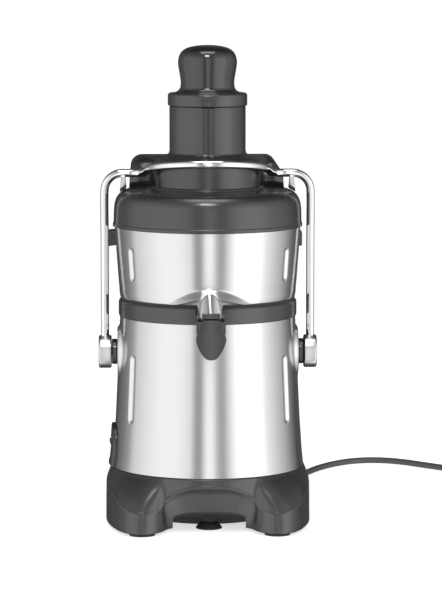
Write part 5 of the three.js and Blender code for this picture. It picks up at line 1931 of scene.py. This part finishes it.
@dataclass
class Bail:
    """The locking bail: two pivot hubs, the polished rod round the chute, and its hold-down fingers."""

    dresser: Dresser
    rod_radius: float = 4.4
    rod_x: float = 109.8
    rod_top: float = 374
    bend: float = 19
    elbow_x: float = 78
    ring_radius: float = 66
    ring_rise: float = 13.5
    hub_radius: float = 17.65
    hub_inner: float = 102.8
    hub_outer: float = 116.7
    finger_x: float = 89.9

    def half_path(self) -> list[Point3]:
        """The rod's right half, from the hub to the front of the ring.

        Returns:
            The path's points.
        """
        x, top, bend = self.rod_x, self.rod_top, self.bend
        points: list[Point3] = [(x, 0, PIVOT_HEIGHT + 6), (x, 0, 240), (x, 0, 300)]
        points += [(a, 0, z) for a, z in arc((x - bend, top - bend), bend, 0, 90, 7)]
        points += [(self.elbow_x + 3, 0, top), (self.ring_radius + 6.5, -2.8, top + 0.4)]
        points += [(self.ring_radius + 1.2, -9.5, top + 1.5)]
        for degrees in (20, 32, 45, 58, 72, 90):
            a = math.radians(degrees)
            forward = self.ring_radius * math.sin(a)
            rise = self.ring_rise * (forward / self.ring_radius) ** 0.7
            points.append((self.ring_radius * math.cos(a), -forward, top + rise))
        return points

    def rod(self) -> None:
        """Builds the polished rod."""
        right = self.half_path()
        left = [(-x, y, z) for x, y, z in reversed(right[:-1])]
        made = tube("polished_bail", curve_points(right + left, 2.2), self.rod_radius, 24)
        self.dresser.dress(made, Finish.CHROME, Body.BAIL, ["bail_rod"])

    def across(self, bench: Bench, side: int) -> Bench:
        """Lays a piece that was turned about Z onto the pivot line, on one side."""
        turned = Matrix.Rotation(side * math.pi / 2, 4, "Y")
        return bench.turn(Matrix.Translation((0, 0, PIVOT_HEIGHT)) @ turned)

    def hub(self, side: int, name: str) -> None:
        """Builds one hub with its turned grooves and counterbore.

        Args:
            side: -1 for left, 1 for right.
            name: The hub's CAD node.
        """
        r, inner, outer = self.hub_radius, self.hub_inner, self.hub_outer
        corners = [
            (4.4, inner, 0),
            (r - 1, inner, 0.3),
            (r, inner + 1, 0.7),
            (r, outer - 1.4, 1),
            (r - 1.4, outer, 0.8),
            (r - 4.5, outer, 0.2),
            (r - 5.2, outer - 0.6, 0.2),
            (9.5, outer - 0.6, 0.2),
            (8.6, outer - 0.1, 0.3),
            (7.5, outer - 0.1, 0.2),
            (7.5, outer - 4.6, 0),
            (4.4, outer - 4.6, 0),
        ]
        bench = self.across(Bench().spin(filleted(corners, 4), 96, closed=True), side)
        made = bench.finish(f"satin_{name}", 35)
        self.dresser.dress(made, Finish.SATIN, Body.BAIL, [name])

    def spacer(self, side: int, name: str) -> None:
        """Builds the dark washer between a hub and the housing.

        Args:
            side: -1 for left, 1 for right.
            name: The washer's CAD node.
        """
        low, high = 96.8, self.hub_inner - 0.3
        corners = [(4.4, low, 0), (13.2, low, 0.3), (13.6, low + 0.8, 0.4)]
        corners += [(13.6, high - 1, 0.4), (13, high, 0.3)]
        bench = self.across(Bench().spin(filleted(corners, 3) + [(4.4, high)], 72, closed=True), side)
        made = bench.finish(f"dark_{name}", 35)
        self.dresser.dress(made, Finish.PLASTIC, Body.MACHINE, [name])

    def finger(self, side: int, where: str) -> None:
        """Builds one welded finger and the rubber pad at its foot.

        Args:
            side: -1 for left, 1 for right.
            where: The side's name.
        """
        x, top = side * self.finger_x, self.rod_top - self.rod_radius + 1.5
        shape = [(-3.3, 361.3), (3.3, 357.4), (2.9, 364), (2.4, top), (-2.4, top), (-2.9, 366)]
        bench = Bench().prism([(x + side * a, -5, z) for a, z in shape], (0, 10, 0)).soften(0.7, 3, 30)
        made = bench.finish(f"steel_finger_{where}", 35)
        node = f"hold_down_finger_{where}"
        self.dresser.dress(made, Finish.SATIN, Body.BAIL, [node])
        pad = [(-3.5, 357.9), (3.5, 354.1), (3.5, 357.6), (-3.5, 361.4)]
        bench = Bench().prism([(x + side * a, -6, z) for a, z in pad], (0, 12, 0)).soften(0.8, 3, 30)
        made = bench.finish(f"rubber_pad_{where}", 35)
        node = f"finger_pad_{where}"
        self.dresser.dress(made, Finish.RUBBER, Body.BAIL, [node])

    def build(self) -> None:
        """Builds the bail."""
        self.rod()
        for side, where in ((-1, "left"), (1, "right")):
            self.hub(side, f"bail_hub_{where}")
            self.spacer(side, f"pivot_spacer_{where}")
            self.finger(side, where)


# ---------------------------------------------------------------- the mains cord


@dataclass
class MainsCord:
    """The lead out of the base, its strain relief, the stored coil, its tie and its plug."""

    dresser: Dresser
    exit: Point3 = (0.0905, 0.0915, 0.027)
    way: Point3 = (0.5, 0.8660254, 0.0)
    relief: float = 0.038
    radius: float = 0.0035
    length: float = 1.8
    coil_centre: Point2 = (0.350, 0.304)
    coil_entry: float = 225
    turns: list[Point2] = field(
        default_factory=lambda: [
            (0.0455, 0.0037),
            (0.0384, 0.0037),
            (0.0312, 0.0037),
            (0.0348, 0.0102),
            (0.0420, 0.0102),
        ]
    )
    tail_radius: float = 0.030
    strap_corner: float = 5.2
    neck: Point3 = (0.342, 0.2655, 0.0277)
    route: list[Point3] = field(
        default_factory=lambda: [
            (0.1125, 0.131, 0.022),
            (0.114, 0.143, 0.014),
            (0.1145, 0.158, 0.0065),
            (0.114, 0.174, 0.0037),
            (0.112, 0.198, 0.0037),
            (0.112, 0.221, 0.0037),
            (0.114, 0.243, 0.0037),
            (0.119, 0.266, 0.0037),
            (0.129, 0.291, 0.0037),
            (0.144, 0.318, 0.0037),
            (0.162, 0.341, 0.0037),
            (0.182, 0.357, 0.0037),
            (0.204, 0.363, 0.0037),
            (0.226, 0.358, 0.0037),
            (0.246, 0.344, 0.0037),
            (0.262, 0.328, 0.0037),
            (0.276, 0.314, 0.0037),
        ]
    )

    def along(self, far: float) -> Vector:
        """The point straight out of the exit, a distance away."""
        return Vector(self.exit) + Vector(self.way) * far

    def on_turn(self, r: float, degrees: float, z: float) -> Vector:
        """The point on a turn of the coil at an angle and a height."""
        a = math.radians(degrees)
        return Vector((self.coil_centre[0] + r * math.cos(a), self.coil_centre[1] + r * math.sin(a), z))

    def coil(self, per_turn: int = 60, tail_steps: int = 10) -> list[Vector]:
        """The points of the stored coil, from its outer turn to the rise towards the plug.

        Args:
            per_turn: Points in each turn, a multiple of 4.
            tail_steps: Points in the bend towards the plug.

        Returns:
            The points.
        """
        made: list[Vector] = []
        total = per_turn * len(self.turns)
        rise_from = total - per_turn // 4
        run = math.pi / 2 * self.turns[-1][0]
        tail = math.pi / 4 * self.tail_radius
        for k in range(total + 1):
            turn = min(k // per_turn, len(self.turns) - 1)
            share = k / per_turn - turn
            r, z = self.turns[turn]
            if turn < len(self.turns) - 1:
                blend = smoothstep(0.78, 1.0, share)
                r, z = lerp(r, self.turns[turn + 1][0], blend), lerp(z, self.turns[turn + 1][1], blend)
            if k > rise_from:
                done = (k - rise_from) / (total - rise_from) * run / (run + tail)
                z = lerp(z, self.neck[2], smoothstep(0, 1, done))
            made.append(self.on_turn(r, self.coil_entry + 360 * k / per_turn, z))
        heading = math.radians(self.coil_entry + 90)
        middle = made[-1] + Vector((-math.sin(heading), math.cos(heading), 0)) * self.tail_radius
        for k in range(1, tail_steps + 1):
            turned = heading + math.pi / 4 * k / tail_steps
            done = (run + tail * k / tail_steps) / (run + tail)
            z = lerp(self.turns[-1][1], self.neck[2], smoothstep(0, 1, done))
            across = Vector((math.sin(turned), -math.cos(turned), 0)) * self.tail_radius
            made.append(Vector((middle.x + across.x, middle.y + across.y, z)))
        made.append(Vector(self.neck) + Vector((0.006, 0, 0)))
        return made

    def lead(self) -> list[Vector]:
        """The points of the lead from inside the strain relief to the coil's first turn.

        Returns:
            The lead's points.
        """
        start = [self.along(far) for far in (0.004, 0.020, self.relief, self.relief + 0.004)]
        a = math.radians(self.coil_entry)
        r, z = self.turns[0]
        entry = self.on_turn(r, self.coil_entry, z)
        heading = Vector((-math.sin(a), math.cos(a), 0))
        joins = [entry - heading * 0.030, entry - heading * 0.012, entry]
        points = [tuple(p / MM) for p in start + [Vector(p) for p in self.route] + joins]
        return [p * MM for p in curve_points(points, 3.5)]

    def cord(self) -> bpy.types.Object:
        """Builds the cord as one open curve.

        Returns:
            The cord.
        """
        shift = Vector((0, AXIS_Y, 0))
        points = [p + shift for p in self.lead()[:-1] + self.coil()]
        curve = bpy.data.curves.new("mains_lead", "CURVE")
        curve.dimensions = "3D"
        curve.bevel_depth = self.radius
        curve.bevel_resolution = 4
        curve.use_fill_caps = True
        spline = curve.splines.new("POLY")
        spline.points.add(len(points) - 1)
        for slot, at in zip(spline.points, points):
            slot.co = (*at, 1)
        spline.use_smooth = True
        made = bpy.data.objects.new("mains_lead", curve)
        bpy.context.scene.collection.objects.link(made)
        measured = sum((b - a).length for a, b in zip(points, points[1:]))
        LOG.info("the cord is %.3f m long", measured)
        return self.dresser.dress(made, Finish.JACKET, Body.MACHINE, ["cord_lead", "cord_coil"])

    def gland(self) -> bpy.types.Object:
        """Builds the tapered, ribbed strain relief.

        Returns:
            The strain relief.
        """
        tip = self.relief / MM
        corners: list[Point3] = [(0, -8, 0), (8.6, -8, 0), (8.6, 0, 0), (9.5, 0, 0.3), (9.5, 3.6, 0.6)]
        ribs = 7
        for k in range(ribs):
            base = 5.2 + k * 4.3
            r = lerp(6.9, 5.0, k / (ribs - 1))
            corners += [(r - 1.1, base, 0.3), (r, base + 0.8, 0.4)]
            corners += [(r - 0.2, base + 2.6, 0.4), (r - 1.2, base + 3.2, 0.3)]
        corners += [(4.3, tip - 1, 0.3), (4.1, tip, 0.3), (0, tip, 0)]
        way = Vector(self.way).to_track_quat("Z", "Y").to_matrix().to_4x4()
        bench = Bench().spin(filleted(corners, 2), 40)
        made = bench.turn(Matrix.Translation(Vector(self.exit) / MM) @ way).finish("cord_gland", 50)
        return self.dresser.dress(made, Finish.RUBBER, Body.MACHINE, ["strain_relief"])

    def tie(self) -> bpy.types.Object:
        """Builds the strap round the coil, with its buckle.

        Returns:
            The strap.
        """
        low, high = local_box("cord_tie")
        x, y = (low.x + high.x) / 2, (low.y + high.y) / 2
        half, top = (high.y - low.y) / 2, high.z

        rows = [(4.6, 0.0), (5.0, 0.3), (5.0, 0.7), (-5.0, 0.7), (-5.0, 0.3), (-4.6, 0.0)]
        loops: list[list[Point3]] = []
        for shift, inset in reversed(rows):
            corner = self.strap_corner - inset
            band = rounded_rectangle(half - inset, 0.1 + inset, top - inset, corner, 6)
            loops.append([(x + shift, y + a, b) for a, b in band])
        bench = Bench().bridge(loops, capped=False)
        bench.join(box_bench((x - 6, y + half - 1.0, 4.5), (x + 6, y + half + 0.4, 11)).soften(0.6, 3))
        made = bench.finish("coil_strap", 40)
        return self.dresser.dress(made, Finish.RUBBER, Body.MACHINE, ["cord_tie"])

    def plug(self) -> list[bpy.types.Object]:
        """Builds the two-pin plug, its ribbed neck and its pins.

        Returns:
            The plug's body and its pins.
        """
        low, high = local_box("plug_body")
        z, y = (low.z + high.z) / 2, (low.y + high.y) / 2
        start, end = low.x + 14, high.x

        def slice_at(x: float, wide: float, tall: float, corner: float) -> list[Point3]:
            """One cross section of the plug's body."""
            return [(x, y + a, z + b) for a, b in rounded_rectangle(wide, -tall, tall, corner, 6)]

        rows = [
            (start - 1, 5, 5, 4.8),
            (start + 0.4, 10.5, 8.2, 6),
            (start + 3, 13.6, 10.4, 7),
            (start + 9, 14.2, 10.6, 7),
            (start + 16, 14.8, 11.0, 7),
            (start + 22, 16.4, 12.3, 7),
            (end - 4, 17, 12.8, 6),
            (end - 1.2, 17, 12.8, 6),
            (end - 0.3, 16.6, 12.4, 5.8),
            (end, 15.8, 11.6, 5.4),
        ]
        bench = Bench().bridge([slice_at(*row) for row in rows])
        neck: list[Point3] = [(0, 0, 0), (4.4, 0, 0.3)]
        for k in range(4):
            rib = ((4.6, 0.8), (5.2, 1.4), (5.2, 3.2), (4.6, 3.8))
            neck += [(r, at + 3.4 * k, 0.3) for r, at in rib]
        neck += [(5.0, 16, 0), (0, 16, 0)]
        turn = Matrix.Translation((low.x, y, z)) @ Matrix.Rotation(math.pi / 2, 4, "Y")
        bench.join(Bench().spin(filleted(neck, 2), 32).turn(turn))
        body = bench.finish("mains_plug", 38)
        self.dresser.dress(body, Finish.GLOSS, Body.MACHINE, ["plug_body"])
        made = [body]
        for where in ("left", "right"):
            a, b = local_box(f"plug_pin_{where}")
            middle, r = (a + b) / 2, (b.y - a.y) / 2
            corners = [(0, a.x, 0), (r, a.x, 0), (r, b.x - 1.4, 0.8), (r - 1, b.x, 0.6), (0, b.x, 0)]
            turn = Matrix.Translation((0, middle.y, middle.z)) @ Matrix.Rotation(math.pi / 2, 4, "Y")
            pin = Bench().spin(filleted(corners, 4), 28).turn(turn).finish(f"brass_{where}_pin", 40)
            node = f"plug_pin_{where}"
            made.append(self.dresser.dress(pin, Finish.BRASS, Body.MACHINE, [node]))
        return made

    def build(self) -> None:
        cord = self.cord()
        pieces = [self.gland(), self.tie(), *self.plug()]


# ---------------------------------------------------------------- the whole machine


def repaint_insides(dresser: Dresser) -> None:
    """Gives the working parts inside, which keep their CAD shapes, their finishes.

    Args:
        dresser: The dresser that holds the finishes.
    """
    dresser.repaint(["bottom_cover"], Finish.BASE_PLASTIC)
    dresser.repaint([f"cover_screw_{k}" for k in (1, 2, 3, 4)], Finish.SATIN)
    cast_parts = ["motor_plate", "end_bell_lower", "end_bell_upper", "top_deck", "drive_hub"]
    dresser.repaint(cast_parts, Finish.CAST)
    dresser.repaint(["bearing_lower", "bearing_upper", "motor_shaft", "basket_nut"], Finish.SATIN)
    dresser.repaint(["pivot_bolt_left", "pivot_bolt_right"], Finish.SATIN)
    dresser.repaint(["stator", "rotor_core"], Finish.IRON)
    dresser.repaint(["run_capacitor", "safety_switch", "switch_body"], Finish.GLOSS)
    dresser.repaint(["cooling_fan", "flap_pin"], Finish.PLASTIC)
    dresser.repaint(["filter_basket", "grating_disc"], Finish.INNER_STEEL)
    dresser.repaint(["shaft_seal", "lid_gasket"], Finish.RUBBER)


def main() -> None:
    """Builds the studio and the machine in order."""
    logging.basicConfig(level=logging.INFO, format="%(name)s: %(message)s")
    studio = Studio()
    studio.camera()
    dresser = Dresser(build_finishes())
    MainsCord(dresser).build()
    BaseUnit(dresser).build()
    MotorHousing(dresser).build()
    Bowl(dresser).build()
    Flap(dresser).build()
    Lid(dresser).build()
    Pusher(dresser).build()
    Bail(dresser).build()
    PulpBin(dresser).build()
    repaint_insides(dresser)
    studio.floor()
    studio.lights()


if __name__ == "__main__":
    main()
